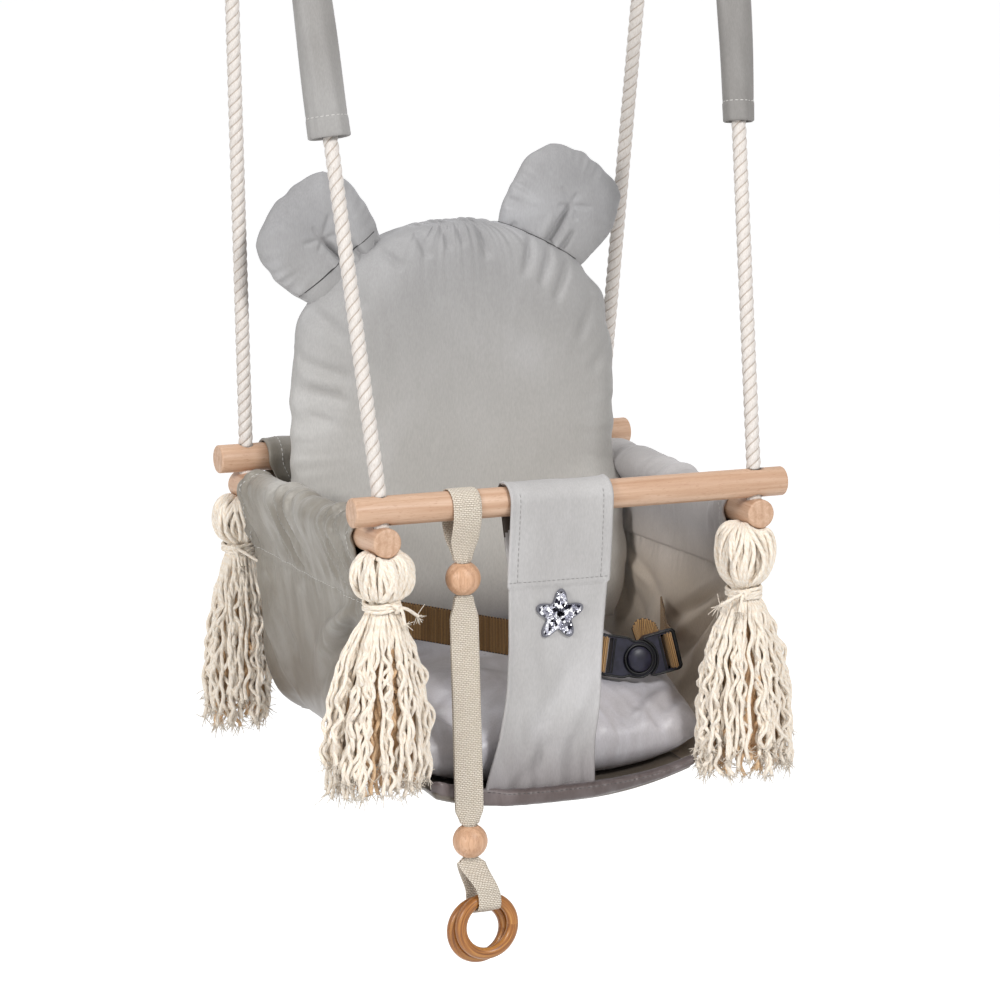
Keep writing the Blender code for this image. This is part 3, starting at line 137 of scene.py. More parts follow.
# Grip sleeves
SLEEVE_TOP_ROOM = 0.0276
SLEEVE_LENGTH = 0.165
SLEEVE_HALF_WIDTH = 0.0154
SLEEVE_HALF_DEPTH = 0.0125
SLEEVE_WALL = 0.0024
SLEEVE_SWELL_RATIO = 0.060
SLEEVE_TWIST_RATIO = 0.147
SLEEVE_HEM = 0.017

# Tassels
HEAD_R = {"f": 0.0275, "r": 0.0240}
HEAD_TOP_DROP = 0.0092
NECK_DROP = 0.0537
NECK_R = 0.0130
TIE_HALF_HEIGHT = 0.0030
TIE_CORD_R = 0.00155
TIE_TURNS = 3.6
TIE_FACING = {"fl": -62, "fr": -118, "rl": -120, "rr": -60}
TASSEL_SHIFT = {"fl": 0.0, "fr": -0.0090, "rl": -0.0070, "rr": 0.0}
SKIRT_LENGTH = {"fl": 0.158, "fr": 0.158, "rl": 0.158, "rr": 0.158}
SKIRT_FOOT_R = {"f": 0.0480, "r": 0.0330}
CORE_RATIO = 0.60
SKIRT_LEAN = {"fl": -0.0050, "fr": 0.0010, "rl": -0.0030, "rr": 0.0}
SKIRT_DEPTH_OUT = 0.0310
SKIRT_DEPTH_IN = 0.0230
STRAND_R = 0.00180
HEAD_YARN_R = STRAND_R * 1.08
HEAD_LAYER = 0.0013
SKIRT_SWELL = 2.7
CORE_END = 0.86
GOLDEN_TURN = 2.399963
STRANDS = {"f": 146, "r": 104}
HEAD_STRANDS = {"f": 90, "r": 78}
NECK_EXTRA = {"fl": 0.0, "fr": 0.0140, "rl": 0.0, "rr": 0.0}

# Cloth of the sling
CLOTH = 0.0026
PANEL_FRONT_INSET = 0.0290
PANEL_REAR_INSET = 0.0250
PANEL_SEAM_DROP = 0.055
PANEL_CURVE = [(0.0035, 0.22), (0.0065, 0.44), (0.0120, 0.68), (0.0230, 0.87), (0.0400, 0.975)]
PUFF = 0.0080
BACK_PANEL_INSET = 0.0170
BACK_PANEL_WAIST_INSET = 0.0280
PANEL_FOLDS = [
    (28, 0.150, 0.0075, 0.0046),
    (37, 0.165, 0.0070, -0.0040),
    (46, 0.160, 0.0065, 0.0050),
    (56, 0.170, 0.0070, -0.0046),
    (66, 0.165, 0.0065, 0.0050),
    (76, 0.165, 0.0060, -0.0044),
    (85, 0.150, 0.0055, 0.0036),
]
FRONT_CORNER_FOLDS = 12
REAR_CORNER_FOLDS = 6
BASE_SIDE_INSET = 0.0550
BASE_FRONT_INSET = 0.0110
BASE_REAR_INSET = 0.0190
BASE_FRONT_Z = -0.2600
BASE_REAR_Z = -0.2340
BASE_EDGE_RISE = 0.0130
BASE_THICKNESS = 0.0090
BASE_CORNER_THINNING = 0.55
BASE_STITCH_INSET = 0.0055
LIP_SECTION = [
    (0.0010, 0.0088),
    (-0.0052, 0.0104),
    (-0.0094, 0.0076),
    (-0.0100, 0.0000),
    (-0.0078, -0.0078),
    (-0.0010, -0.0114),
    (0.0090, -0.0090),
]
LIP_CREST = 0.0104
LIP_TALL = ([-1.0, -0.64, 0.18, 0.63, 1.0], [0.50, 0.62, 0.55, 0.34, 0.22])
LIP_LEVEL = 0.25
LIP_SEWN_HALF = 0.058
LIP_STRAP_HALF = 0.031
LIP_STRAP_SLIMMING = 0.68

# Crotch panel and its star
CROTCH_X = -0.0155
CROTCH_FOOT_X = -0.0255
CROTCH_WIDTH = 0.0925
CROTCH_WAIST_WIDTH = 0.0885
CROTCH_FOOT_WIDTH = 0.1010
CROTCH_SEAM_DROP = 0.0720
CROTCH_LEAN_Z = -0.1600
STAR_X = -0.0145
STAR_Z = -0.0980
STAR_R = 0.0225
STAR_TURN = math.radians(90 - 3)
STAR_THICKNESS = 0.0030
CROTCH_FOLDS = [
    ((-0.010, -0.205), (-0.052, -0.254), 0.0070, -0.0030),
    ((-0.034, -0.214), (-0.038, -0.258), 0.0050, 0.0022),
    ((-0.024, -0.200), (-0.026, -0.257), 0.0050, -0.0026),
    ((0.002, -0.205), (0.006, -0.258), 0.0055, -0.0028),
    ((-0.010, -0.216), (-0.008, -0.258), 0.0045, 0.0020),
    ((0.016, -0.218), (0.018, -0.258), 0.0045, -0.0020),
    ((-0.050, -0.110), (-0.018, -0.190), 0.0130, 0.0026),
    ((0.014, -0.120), (-0.040, -0.215), 0.0110, -0.0024),
    ((0.024, -0.150), (-0.010, -0.225), 0.0080, 0.0020),
]

# Cushions
SEAT_CUSHION_SIDE_INSET = 0.0270
SEAT_CUSHION_FRONT_INSET = 0.0170
SEAT_CUSHION_REAR_INSET = 0.0260
SEAT_CUSHION_HEIGHT = 0.0950
SEAT_CUSHION_SEAM_RATIO = 0.36
SEAT_CORNER_RATIO = 0.10
SEAT_FOLDS = [
    ((0.050, -0.132), (0.120, -0.080), 0.008, -0.0062),
    ((0.090, -0.130), (0.135, -0.095), 0.006, -0.0054),
    ((0.030, -0.126), (0.060, -0.060), 0.010, 0.0042),
    ((-0.060, -0.132), (-0.110, -0.090), 0.008, -0.0046),
    ((-0.090, -0.128), (-0.140, -0.060), 0.009, 0.0036),
    ((-0.130, -0.110), (-0.080, -0.070), 0.007, -0.0034),
]
SEAT_SHOULDER = (0.146, -0.050)
SEAT_SHOULDER_RISE = 0.0205
BACK_CUSHION_X = 0.0010
BACK_CUSHION_INSET = 0.0600
BACK_CUSHION_SIDE_ROOM = 0.0055
BACK_CUSHION_TOP_Z = 0.2090
BACK_CUSHION_SHOULDER_Z = 0.0300
BACK_CUSHION_CROWN = 0.0040
BACK_SPREAD_X = 0.0065
BACK_SPREAD_Y = 0.0110
BACK_CUSHION_FRONT = 0.0370
BACK_CUSHION_BACK = 0.0330
BACK_FOLDS = [
    ((-0.083, 0.194), (-0.060, 0.172), 0.0032, -0.0042),
    ((-0.046, 0.206), (-0.036, 0.180), 0.0036, -0.0046),
    ((-0.020, 0.209), (-0.016, 0.186), 0.0030, -0.0040),
    ((-0.006, 0.209), (-0.002, 0.190), 0.0028, -0.0034),
    ((0.014, 0.208), (0.020, 0.178), 0.0036, -0.0046),
    ((0.066, 0.198), (0.054, 0.160), 0.0042, -0.0050),
    ((0.086, 0.190), (0.070, 0.150), 0.0040, -0.0046),
    ((0.104, 0.174), (0.084, 0.136), 0.0044, -0.0048),
    ((0.130, 0.138), (0.108, 0.100), 0.0050, -0.0040),
    ((0.146, 0.100), (0.124, 0.070), 0.0050, -0.0032),
    ((-0.150, 0.094), (-0.108, 0.078), 0.0036, -0.0040),
    ((-0.152, 0.082), (-0.118, 0.071), 0.0034, 0.0028),
    ((-0.152, 0.070), (-0.112, 0.058), 0.0036, -0.0036),
    ((-0.152, 0.050), (-0.124, 0.040), 0.0040, -0.0028),
    ((-0.140, 0.140), (-0.112, 0.112), 0.0046, -0.0034),
    ((-0.120, 0.168), (-0.096, 0.138), 0.0046, -0.0034),
]
EAR_THICKNESS = 0.0320
EAR_DARTS = [
    ((0.010, -0.006), (0.008, -0.058), 0.0045, 0.0030),
    ((-0.010, -0.006), (-0.008, -0.058), 0.0045, 0.0030),
]
EAR_STAR_REACHES = (0.024, 0.015, 0.020, 0.013, 0.026, 0.016)
EAR_HALF_WIDTH = 0.0545
EAR_HALF_HEIGHT = 0.0580
EAR_ROUND = 0.40
LEFT_EAR_CENTRE = (-0.1240, 0.1940)
RIGHT_EAR_CENTRE = (0.1030, 0.2120)
LEFT_EAR_LEAN = 44
RIGHT_EAR_LEAN = 34
EAR_CREASE_SHADE_R = 0.0007
LEFT_EAR_CREASE = [(-0.0792, 0.2034), (-0.101, 0.1895), (-0.1208, 0.173), (-0.149, 0.1483)]
RIGHT_EAR_CREASE = [(0.0325, 0.2098), (0.0528, 0.2018), (0.084, 0.187), (0.1144, 0.1704)]

# Toy strap, beads and rings
STRAP_X = -0.1010
STRAP_BEAD_LEAN = 0.0080
STRAP_RING_LEAN = 0.0115
STRAP_WIDTH = 0.0254
STRAP_WEB = 0.0015
STRAP_LAYER_GAP = 0.0005
STRAP_PINCH_WIDTH = 0.0110
STRAP_NECK_WIDTH = 0.0165
STRAP_RING_WIDTH = 0.0205
STRAP_BOW = 0.0026
STRAP_BOW_REACH = 0.045
BEAD_R = 0.0148
BEAD_HOLE_R = 0.0064
UPPER_BEAD_DROP = 0.0620
LOWER_BEAD_DROP = 0.2870
TOY_RING_DROP = 0.3370
TOY_RING_R = 0.0238
TOY_RING_BAR_R = 0.0050
TOY_RING_SWING_ROOM = 0.0009
REAR_RING_DROP = 0.0050
REAR_RING_SHIFT = 0.0030
REAR_LOOP_ROOM = 0.0027

# Waist belt and buckle
WEB_WIDTH = 0.0300
WEB = 0.0016
BELT_LEFT_START = (0.0120, 0.0300, -0.1080)
BELT_LEFT_WAY = [
    (-0.1300, -0.0040, -0.1150),
    (-0.0800, -0.0300, -0.1240),
    (-0.0200, -0.0520, -0.1360),
    (0.0300, -0.0660, -0.1460),
]
BELT_RIGHT_WAY = [(0.0120, 0.0000, -0.1400), (0.0225, -0.0265, -0.1440), (0.0330, -0.0545, -0.1500)]
BELT_TAIL_WAY = [
    (0.0240, 0.0115, 0.0040),
    (0.0220, 0.0150, 0.0110),
    (0.0175, 0.0165, 0.0160),
    (0.0125, 0.0165, 0.0160),
    (0.0090, 0.0150, 0.0110),
]
BELT_TAIL_LEANS = [0.20, 0.30, 0.12, -0.15, -0.35]
BUCKLE_CENTRE = (0.0950, -0.0850, -0.1600)
BUCKLE_LEAN = math.radians(10)
BUCKLE_TURN = math.radians(-6)
BUCKLE_BEND = math.radians(11)
BUCKLE_THICKNESS = 0.0110
BUCKLE_REACH = 0.0340
SLOT_BAR = 0.0035
BUCKLE_HEIGHT = 0.0360
BUCKLE_HUB_R = 0.0165
BUCKLE_NECK = 0.0120
BUCKLE_CORNER = 0.0030
BUCKLE_RIM_OUT = 0.0045
BUCKLE_RIM_R = 0.0020
BUCKLE_PIPING_R = 0.0010
BUCKLE_PIPING_INSET = 0.0009
BUCKLE_BAR_R = 0.0009
BUTTON_R = 0.0110
COLLAR_R = BUTTON_R + 0.0015
COLLAR_BAR_R = 0.0011

# Places that follow from the sizes above
HEAD_TOP = SIDE_DOWEL_Z - HEAD_TOP_DROP
PANEL_FRONT_Y = PANEL_FRONT_INSET - HALF_Y
PANEL_REAR_Y = HALF_Y - PANEL_REAR_INSET
BACK_PANEL_HALF_WIDTH = HALF_X - BACK_PANEL_INSET
BACK_PANEL_WAIST = HALF_X - BACK_PANEL_WAIST_INSET
BASE_HALF_WIDTH = HALF_X - BASE_SIDE_INSET
BASE_FRONT_Y = BASE_FRONT_INSET - HALF_Y
BASE_REAR_Y = HALF_Y - BASE_REAR_INSET
SEAT_CUSHION_HALF_WIDTH = HALF_X - SEAT_CUSHION_SIDE_INSET
SEAT_CUSHION_FRONT_Y = SEAT_CUSHION_FRONT_INSET - HALF_Y
SEAT_CUSHION_REAR_Y = HALF_Y - SEAT_CUSHION_REAR_INSET
BACK_CUSHION_HALF_WIDTH = HALF_X - DOWEL_R - BACK_CUSHION_SIDE_ROOM
BACK_CUSHION_Y = HALF_Y - BACK_CUSHION_INSET
SLEEVE_INNER_R = DOWEL_R + SOFT_GAP
FRONT, REAR, LEFT, RIGHT = -1, 1, -1, 1
CORNERS = {"fl": (LEFT, FRONT), "fr": (RIGHT, FRONT), "rl": (LEFT, REAR), "rr": (RIGHT, REAR)}


# Numbers and lines


def mix(a, b, t):
    return a + (b - a) * t


def smoothstep(low, high, x):
    t = np.clip((x - low) / (high - low), 0, 1)
    return t * t * (3 - 2 * t)


def length_along(line):
    """How far each point of a line is from its start."""
    return np.concatenate([[0], np.cumsum(np.linalg.norm(np.diff(line, axis=0), axis=1))])


def evenly(line, steps):
    along = length_along(line)
    want = np.linspace(0, along[-1], steps + 1)
    return np.stack([np.interp(want, along, line[:, k]) for k in range(line.shape[1])], 1)


def smooth_path(knots, steps, dense=16):
    """Points on a curve through the knots, evenly spaced in steps."""
    knots = np.array([tuple(k) for k in knots], float)
    ends = np.vstack([2 * knots[0] - knots[1], knots, 2 * knots[-1] - knots[-2]])
    t = (np.arange(dense) / dense)[:, None]
    found = []
    for a, b, c, d in zip(ends, ends[1:], ends[2:], ends[3:]):
        square, cube = 2 * a - 5 * b + 4 * c - d, 3 * b - a - 3 * c + d
        found.append(b + 0.5 * ((c - a) * t + square * t**2 + cube * t**3))
    return evenly(np.vstack([*found, knots[-1:]]), steps)


def unit(vectors):
    return vectors / np.linalg.norm(vectors, axis=-1, keepdims=True)


def full_turn(steps):
    """Angles once round, with the first one again at the end."""
    return 2 * PI * np.arange(steps + 1) / steps


def fold(x, y, start, end, width, depth, ease=0.6):
    """Height of a soft ridge between two places of a cloth, or of a furrow where depth is negative."""
    dx, dy = end[0] - start[0], end[1] - start[1]
    t = np.clip(((x - start[0]) * dx + (y - start[1]) * dy) / (dx * dx + dy * dy), 0.001, 0.999)
    away = np.hypot(x - start[0] - t * dx, y - start[1] - t * dy)
    return depth * np.exp(-((away / width) ** 2)) * np.sin(PI * t) ** ease


def folded(push, x, y, folds, mask=1.0):
    """The push of a cloth with a list of folds added: start, end, width and depth of each."""
    for start, end, width, depth in folds:
        push = push + fold(x, y, start, end, width, depth) * mask
    return push


def gathers(along, away, pitch, reach, depth, seed, waves=7):
    """Uneven gathers that run out from a seam. Along it and away from it are in metres."""
    rng = np.random.default_rng(seed)
    total = 0
    for _ in range(waves):
        step = pitch * rng.uniform(0.6, 1.7)
        fade = reach * rng.uniform(0.4, 1.4)
        total = total + np.sin(2 * PI * along / step + rng.uniform(0, 2 * PI)) * np.exp(-np.abs(away) / fade)
    return depth * total / math.sqrt(waves)


def rumple(x, y, z, pitch, seed, waves=6):
    """A smooth uneven field from about -1 to 1, for soft dents."""
    rng = np.random.default_rng(seed)
    total = 0
    for _ in range(waves):
        way = unit(rng.normal(size=3)) / (pitch * rng.uniform(0.7, 1.6))
        total = total + np.sin(2 * PI * (x * way[0] + y * way[1] + z * way[2]) + rng.uniform(0, 2 * PI))
    return total / math.sqrt(waves)


# Meshes


def placed(name, data):
    """A new object that holds the data, linked to the scene."""
    obj = bpy.data.objects.new(name, data)
    bpy.context.scene.collection.objects.link(obj)
    return obj


def welded(obj, distance, outward=False):
    """Joins the points of a mesh that lie together, and turns its faces outward where that is asked."""
    mesh = bmesh.new()
    mesh.from_mesh(obj.data)
    bmesh.ops.remove_doubles(mesh, verts=mesh.verts, dist=distance)
    if outward:
        bmesh.ops.recalc_face_normals(mesh, faces=mesh.faces)
    mesh.to_mesh(obj.data)
    mesh.free()


class Shape:
    """Points and faces gathered from many parts. Each face corner keeps its own place for the weave."""

    def __init__(self):
        self.points, self.faces, self.places, self.slots = [], [], [], []
        self.count = 0

    def add(self, points, faces, places, slot=0):
        self.points.append(points.reshape(-1, 3))
        self.faces.append(faces + self.count)
        self.places.append(places)
        self.slots.append(np.full(len(faces), slot))
        self.count += len(self.points[-1])

    def build(self, name, surfaces, tidy=False):
        mesh = bpy.data.meshes.new(name)
        points = np.concatenate(self.points)
        lengths = np.concatenate([np.full(len(f), f.shape[1]) for f in self.faces])
        corners = np.concatenate([f.ravel() for f in self.faces])
        mesh.vertices.add(len(points))
        mesh.vertices.foreach_set("co", points.ravel())
        mesh.loops.add(len(corners))
        mesh.loops.foreach_set("vertex_index", corners.astype(np.int32))
        mesh.polygons.add(len(lengths))
        starts = np.concatenate([[0], np.cumsum(lengths)[:-1]])
        mesh.polygons.foreach_set("loop_start", starts.astype(np.int32))
        mesh.polygons.foreach_set("material_index", np.concatenate(self.slots).astype(np.int32))
        layer = mesh.uv_layers.new(name="weave")
        layer.uv.foreach_set("vector", np.concatenate([p.reshape(-1, 2) for p in self.places]).ravel())
        mesh.update(calc_edges=True)
        for surface in surfaces if isinstance(surfaces, (list, tuple)) else [surfaces]:
            mesh.materials.append(surface)
        if tidy:
            shape = bmesh.new()
            shape.from_mesh(mesh)
            bmesh.ops.recalc_face_normals(shape, faces=shape.faces)
            if shape.calc_volume(signed=True) < 0:
                bmesh.ops.reverse_faces(shape, faces=shape.faces)
            shape.to_mesh(mesh)
            shape.free()
        mesh.shade_smooth()
        obj = placed(name, mesh)
        obj.location = SEAT
        return obj


def corners_of(index):
    """Quads over a grid of point numbers."""
    return np.stack([index[:-1, :-1], index[:-1, 1:], index[1:, 1:], index[1:, :-1]], -1).reshape(-1, 4)


def spots_of(places):
    """The place on the weave of each corner of the quads over a grid."""
    return np.stack([places[:-1, :-1], places[:-1, 1:], places[1:, 1:], places[1:, :-1]], 2).reshape(-1, 4, 2)


def skin(shape, grid, places, slot=0, around=False, flip=False):
    """A surface over a grid of points (rows, columns, 3) with its places (rows, columns, 2) on the weave."""
    rows, columns = grid.shape[:2]
    index = np.arange(rows * columns).reshape(rows, columns)
    if around:
        index = np.concatenate([index, index[:, :1]], 1)
    faces, at = corners_of(index), spots_of(places)
    if flip:
        faces, at = faces[:, ::-1], at[:, ::-1]
    shape.add(grid, faces, at, slot)


def closed_skin(shape, grid, places, slot=0):
    """A surface that meets itself both ways. Its places have one row and one column more than its points."""
    rows, columns = grid.shape[:2]
    index = np.arange(rows * columns).reshape(rows, columns)
    index = np.concatenate([index, index[:, :1]], 1)
    index = np.concatenate([index, index[:1]], 0)
    shape.add(grid, corners_of(index), spots_of(places), slot)


def slopes(grid):
    """The steps down and across a grid of points, and the direction upright to both."""
    down, across = np.gradient(grid, axis=0), np.gradient(grid, axis=1)
    return down, across, unit(np.cross(across, down))


def normals(grid, probe, axis, way):
    """Upright directions over a grid, turned so that the probe's points the given way along an axis."""
    upright = slopes(grid)[2]
    return upright * (way * np.sign(upright[probe][axis]))


def frames(paths):
    """For rows of points (rows, n, 3): the way along them, and two ways across that don't wind."""
    along = unit(np.gradient(paths, axis=1))
    start = np.where(np.abs(along[:, :1, 2]) > 0.8, [[[1.0, 0, 0]]], [[[0, 0, 1.0]]])[:, 0]
    side = np.empty_like(along)
    last = start
    for i in range(paths.shape[1]):
        way = along[:, i]
        last = unit(last - (last * way).sum(1, keepdims=True) * way)
        side[:, i] = last
    return along, side, np.cross(along, side)


def sweep(shape, paths, radius, sides, slot=0, outline=None, winding=0.0):
    """Round tubes along rows of points. An outline scales the radius round the tube, and winding turns it."""
    paths = np.asarray(paths, float)
    if paths.ndim == 2:
        paths = paths[None]
    rows, n = paths.shape[:2]
    _, side, other = frames(paths)
    reach = np.zeros((rows, n))
    reach[:, 1:] = np.cumsum(np.linalg.norm(np.diff(paths, axis=1), axis=2), 1)
    angle = full_turn(sides) + winding * reach[..., None]
    radius = np.broadcast_to(np.asarray(radius, float), (rows, n))[..., None]
    swell = np.ones(sides) if outline is None else outline
    turn = angle[..., :-1]
    out = np.cos(turn)[..., None] * side[:, :, None] + np.sin(turn)[..., None] * other[:, :, None]
    points = paths[:, :, None] + (radius * swell)[..., None] * out
    places = np.stack([angle / (2 * PI), np.broadcast_to(reach[..., None], angle.shape)], -1)
    index = np.arange(rows * n * sides).reshape(rows, n, sides)
    index = np.concatenate([index, index[..., :1]], 2)
    quads = np.stack([index[:, :-1, :-1], index[:, :-1, 1:], index[:, 1:, 1:], index[:, 1:, :-1]], -1)
    at = np.stack([places[:, :-1, :-1], places[:, :-1, 1:], places[:, 1:, 1:], places[:, 1:, :-1]], 3)
    base = shape.count
    shape.add(points, quads.reshape(-1, 4), at.reshape(-1, 4, 2), slot)
    for end, order in ((0, -1), (n - 1, 1)):
        rim = index[:, end, :] + base - shape.count
        hub = np.arange(rows)[:, None] + np.zeros((1, sides), int)
        a, b = (rim[:, :-1], rim[:, 1:]) if order > 0 else (rim[:, 1:], rim[:, :-1])
        fan = np.stack([hub, a, b], -1).reshape(-1, 3)
        at = np.repeat(places[:, end, :1].reshape(rows, 1, 2), sides, 1)[:, :, None].repeat(3, 2)
        shape.add(paths[:, end], fan, at.reshape(-1, 3, 2), slot)


def cloth(name, grid, thickness, surfaces):
    """A sheet with a round rim, from a grid of points on its middle surface."""
    rows, columns = grid.shape[:2]
    down, across, normal = slopes(grid)
    thick = np.broadcast_to(thickness, (rows, columns))[..., None] / 2
    u = length_along(grid[rows // 2])
    v = length_along(grid[:, columns // 2])
    places = np.stack(np.meshgrid(u, v), -1)
    shape = Shape()
    skin(shape, grid + normal * thick, places)
    skin(shape, grid - normal * thick, places, flip=True)
    out = np.zeros_like(grid)
    out[0] -= unit(down[0])
    out[-1] += unit(down[-1])
    out[:, 0] -= unit(across[:, 0])
    out[:, -1] += unit(across[:, -1])
    index = np.arange(rows * columns).reshape(rows, columns)
    rim = np.concatenate([index[0], index[1:, -1], index[-1, -2::-1], index[-2:0:-1, 0]])
    edge = grid.reshape(-1, 3)[rim] + unit(out.reshape(-1, 3)[rim]) * thick.reshape(-1, 1)[rim]
    number = np.arange(len(rim)) + 2 * rows * columns
    ring = np.stack([rim, number, rim + rows * columns])
    ring = np.concatenate([ring, ring[:, :1]], 1)
    at = places.reshape(-1, 2)[np.concatenate([rim, rim[:1]])]
    shape.add(edge, corners_of(ring) - 2 * rows * columns, spots_of(np.stack([at] * 3)))
    return shape.build(name, surfaces, tidy=True)


def stitches(name, lines, surface, length=0.0030, gap=0.0014, radius=0.00042):
    """A row of stitches along each line of points. A stitch takes 8 of the 12 steps between its holes."""
    shape = Shape()
    rows = []
    for line in lines:
        line = np.asarray(line, float)
        total = length_along(line)[-1]
        count = max(int(total / (length + gap)), 1)
        fine = evenly(line, count * 12)
        for k in range(count):
            rows.append(evenly(fine[k * 12 : k * 12 + 9], 5))
    rows = np.array(rows)
    ease = np.array([0.35, 0.9, 1.0, 1.0, 0.9, 0.35]) * radius
    sweep(shape, rows, ease[None], 6)
    return shape.build(name, surface)


def lathe(shape, centre, profile, sides, axis=(0, 0, 1), slot=0, closed=False):
    """Turns (radius, height) pairs round an axis through centre."""
    axis = unit(np.array(axis, float))
    side = unit(np.cross(axis, [0, 1, 0] if abs(axis[1]) < 0.9 else [1, 0, 0]))
    other = np.cross(axis, side)
    profile = np.array(profile, float)
    if closed:
        profile = np.vstack([profile, profile[:1]])
    angle = full_turn(sides)
    out = np.cos(angle)[:, None] * side + np.sin(angle)[:, None] * other
    grid = np.array(centre) + profile[:, :1, None] * out[None] + profile[:, 1:, None] * axis
    reach = length_along(profile)
    places = np.stack(np.meshgrid(angle / (2 * PI), reach), -1)
    if not closed:
        skin(shape, grid[:, :-1], places, slot, around=True)
        return
    closed_skin(shape, grid[:-1, :-1], places, slot)


def finished(obj, body, slot, *nodes):
    """The piece rides its body and stands for its CAD nodes. The slot is not used."""
    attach(obj, body)
    if nodes:
        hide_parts(*nodes)
    return obj


# Surfaces


def rgb(red, green, blue):
    """A colour as a screen shows it, from 0 to 255."""
    shares = [c / 255 for c in (red, green, blue)]
    return tuple(((c + 0.055) / 1.055) ** 2.4 if c > 10 / 255 else c / 12.92 for c in shares) + (1.0,)


def between(a, b, share):
    """A colour between two others."""
    return mix(np.array(a), np.array(b), share)


class Surface:
    """A material in the making. Each method adds nodes and returns an output."""

    def __init__(self, name, values):
        self.material = bpy.data.materials.new(name)
        self.material.use_nodes = True
        self.tree = self.material.node_tree
        self.shader = self.tree.nodes["Principled BSDF"]
        for key, value in values.items():
            self.shader.inputs[key].default_value = value

    def node(self, kind, inputs, output=0, **settings):
        made = self.tree.nodes.new("ShaderNode" + kind)
        for key, value in settings.items():
            setattr(made, key, value)
        for key, value in inputs.items():
            if isinstance(value, bpy.types.NodeSocket):
                self.tree.links.new(value, made.inputs[key])
            else:
                made.inputs[key].default_value = value
        return made.outputs[output]

    def place(self, source, scale, turn=(0, 0, 0), shift=(0, 0, 0)):
        spot = self.node("TexCoord", {}, source)
        return self.node("Mapping", {"Vector": spot, "Scale": scale, "Rotation": turn, "Location": shift})

    def split(self, source):
        """The outputs X, Y and Z of a place."""
        return self.node("SeparateXYZ", {0: self.node("TexCoord", {}, source)}).node.outputs

    def noise(self, place, detail=2.0, distortion=0.0, roughness=0.5):
        values = {"Vector": place, "Scale": 1.0, "Detail": detail}
        return self.node("TexNoise", {**values, "Distortion": distortion, "Roughness": roughness})

    def wave(self, place, distortion=0.0, detail=2.0, **settings):
        values = {"Vector": place, "Scale": 1.0, "Distortion": distortion, "Detail": detail}
        return self.node("TexWave", values, "Fac", **settings)

    def math(self, operation, *values):
        return self.node("Math", dict(enumerate(values)), operation=operation)

    def ramp(self, value, *stops):
        made = self.tree.nodes.new("ShaderNodeValToRGB")
        elements = made.color_ramp.elements
        while len(elements) < len(stops):
            elements.new(0.5)
        for element, (position, colour) in zip(elements, stops):
            element.position = position
            element.color = colour if hasattr(colour, "__len__") else (colour, colour, colour, 1)
        self.tree.links.new(value, made.inputs[0])
        return made.outputs[0]

    def mixed(self, factor, a, b, blend="MIX"):
        made = self.tree.nodes.new("ShaderNodeMix")
        made.data_type = "RGBA"
        made.blend_type = blend
        for socket, value in ((0, factor), (6, a), (7, b)):
            if isinstance(value, bpy.types.NodeSocket):
                self.tree.links.new(value, made.inputs[socket])
            else:
                made.inputs[socket].default_value = value
        return made.outputs[2]

    def bump(self, height, distance, strength=1.0, under=None):
        values = {"Height": height, "Distance": distance, "Strength": strength}
        if under is not None:
            values["Normal"] = under
        return self.node("Bump", values)

    def finish(self, colour, normal=None, roughness=None):
        self.tree.links.new(colour, self.shader.inputs["Base Color"])
        if normal is not None:
            self.tree.links.new(normal, self.shader.inputs["Normal"])
        if roughness is not None:
            self.tree.links.new(roughness, self.shader.inputs["Roughness"])
        return self.material


def velour(name, shade, body, light, crush=0.35, painted_low_tone=None, low=-0.08, high=0.19, matt=0.66):
    """Short pile: fine upright threads, soft patches where it lies the other way, and crushed streaks. The
    lighter and darker patches and streaks are partly the pile's own tone and partly painted sheen and painted
    shade. Given a low tone, the colour moves towards it low down: painted shade where that tone is darker,
    painted light where it is lighter.
    """
    s = Surface(name, {"Sheen Weight": 0.22, "Sheen Roughness": 0.35, "Sheen Tint": rgb(222, 224, 232)})
    threads = s.noise(s.place("Object", (900, 900, 240)), 2.0)
    patches = s.noise(s.place("Object", (10, 10, 8)), 2.0, 0.4)
    streaks = s.noise(s.place("Object", (38, 30, 12), (0.45, 0.2, 0)), 3.0, 1.2, 0.5)
    pile = s.noise(s.place("Object", (2400, 2400, 2400)), 1.0)
    # Patches and streaks: partly the pile's own tone, partly painted sheen towards the light colour and
    # painted shade towards the shade colour.
    colour = s.ramp(patches, (0.32, between(shade, body, 0.6)), (0.52, body), (0.74, light))
    pale = s.ramp(streaks, (0.48, 0.0), (0.78, crush))
    colour = s.mixed(pale, colour, light)
    crush_and_shade = s.ramp(streaks, (0.22, crush), (0.50, 0.0))
    colour = s.mixed(crush_and_shade, colour, shade)
    # Low down the colour moves towards the low tone: painted shade where that tone is darker than the cloth,
    # painted light where it is lighter.
    if painted_low_tone:
        height = s.node("MapRange", {"Value": s.split("Object")[2], "From Min": low, "From Max": high})
        colour = s.mixed(s.ramp(height, (0.0, 1.0), (1.0, 0.0)), colour, s.mixed(0.75, colour, painted_low_tone))
    grain = s.ramp(threads, (0.30, 0.93), (0.70, 1.05))
    colour = s.mixed(1.0, colour, grain, "MULTIPLY")
    rough = s.ramp(streaks, (0.35, matt), (0.75, matt - 0.16))
    normal = s.bump(threads, 0.00022, 0.35)
    normal = s.bump(pile, 0.00015, 0.25, normal)
    return s.finish(colour, normal, rough)


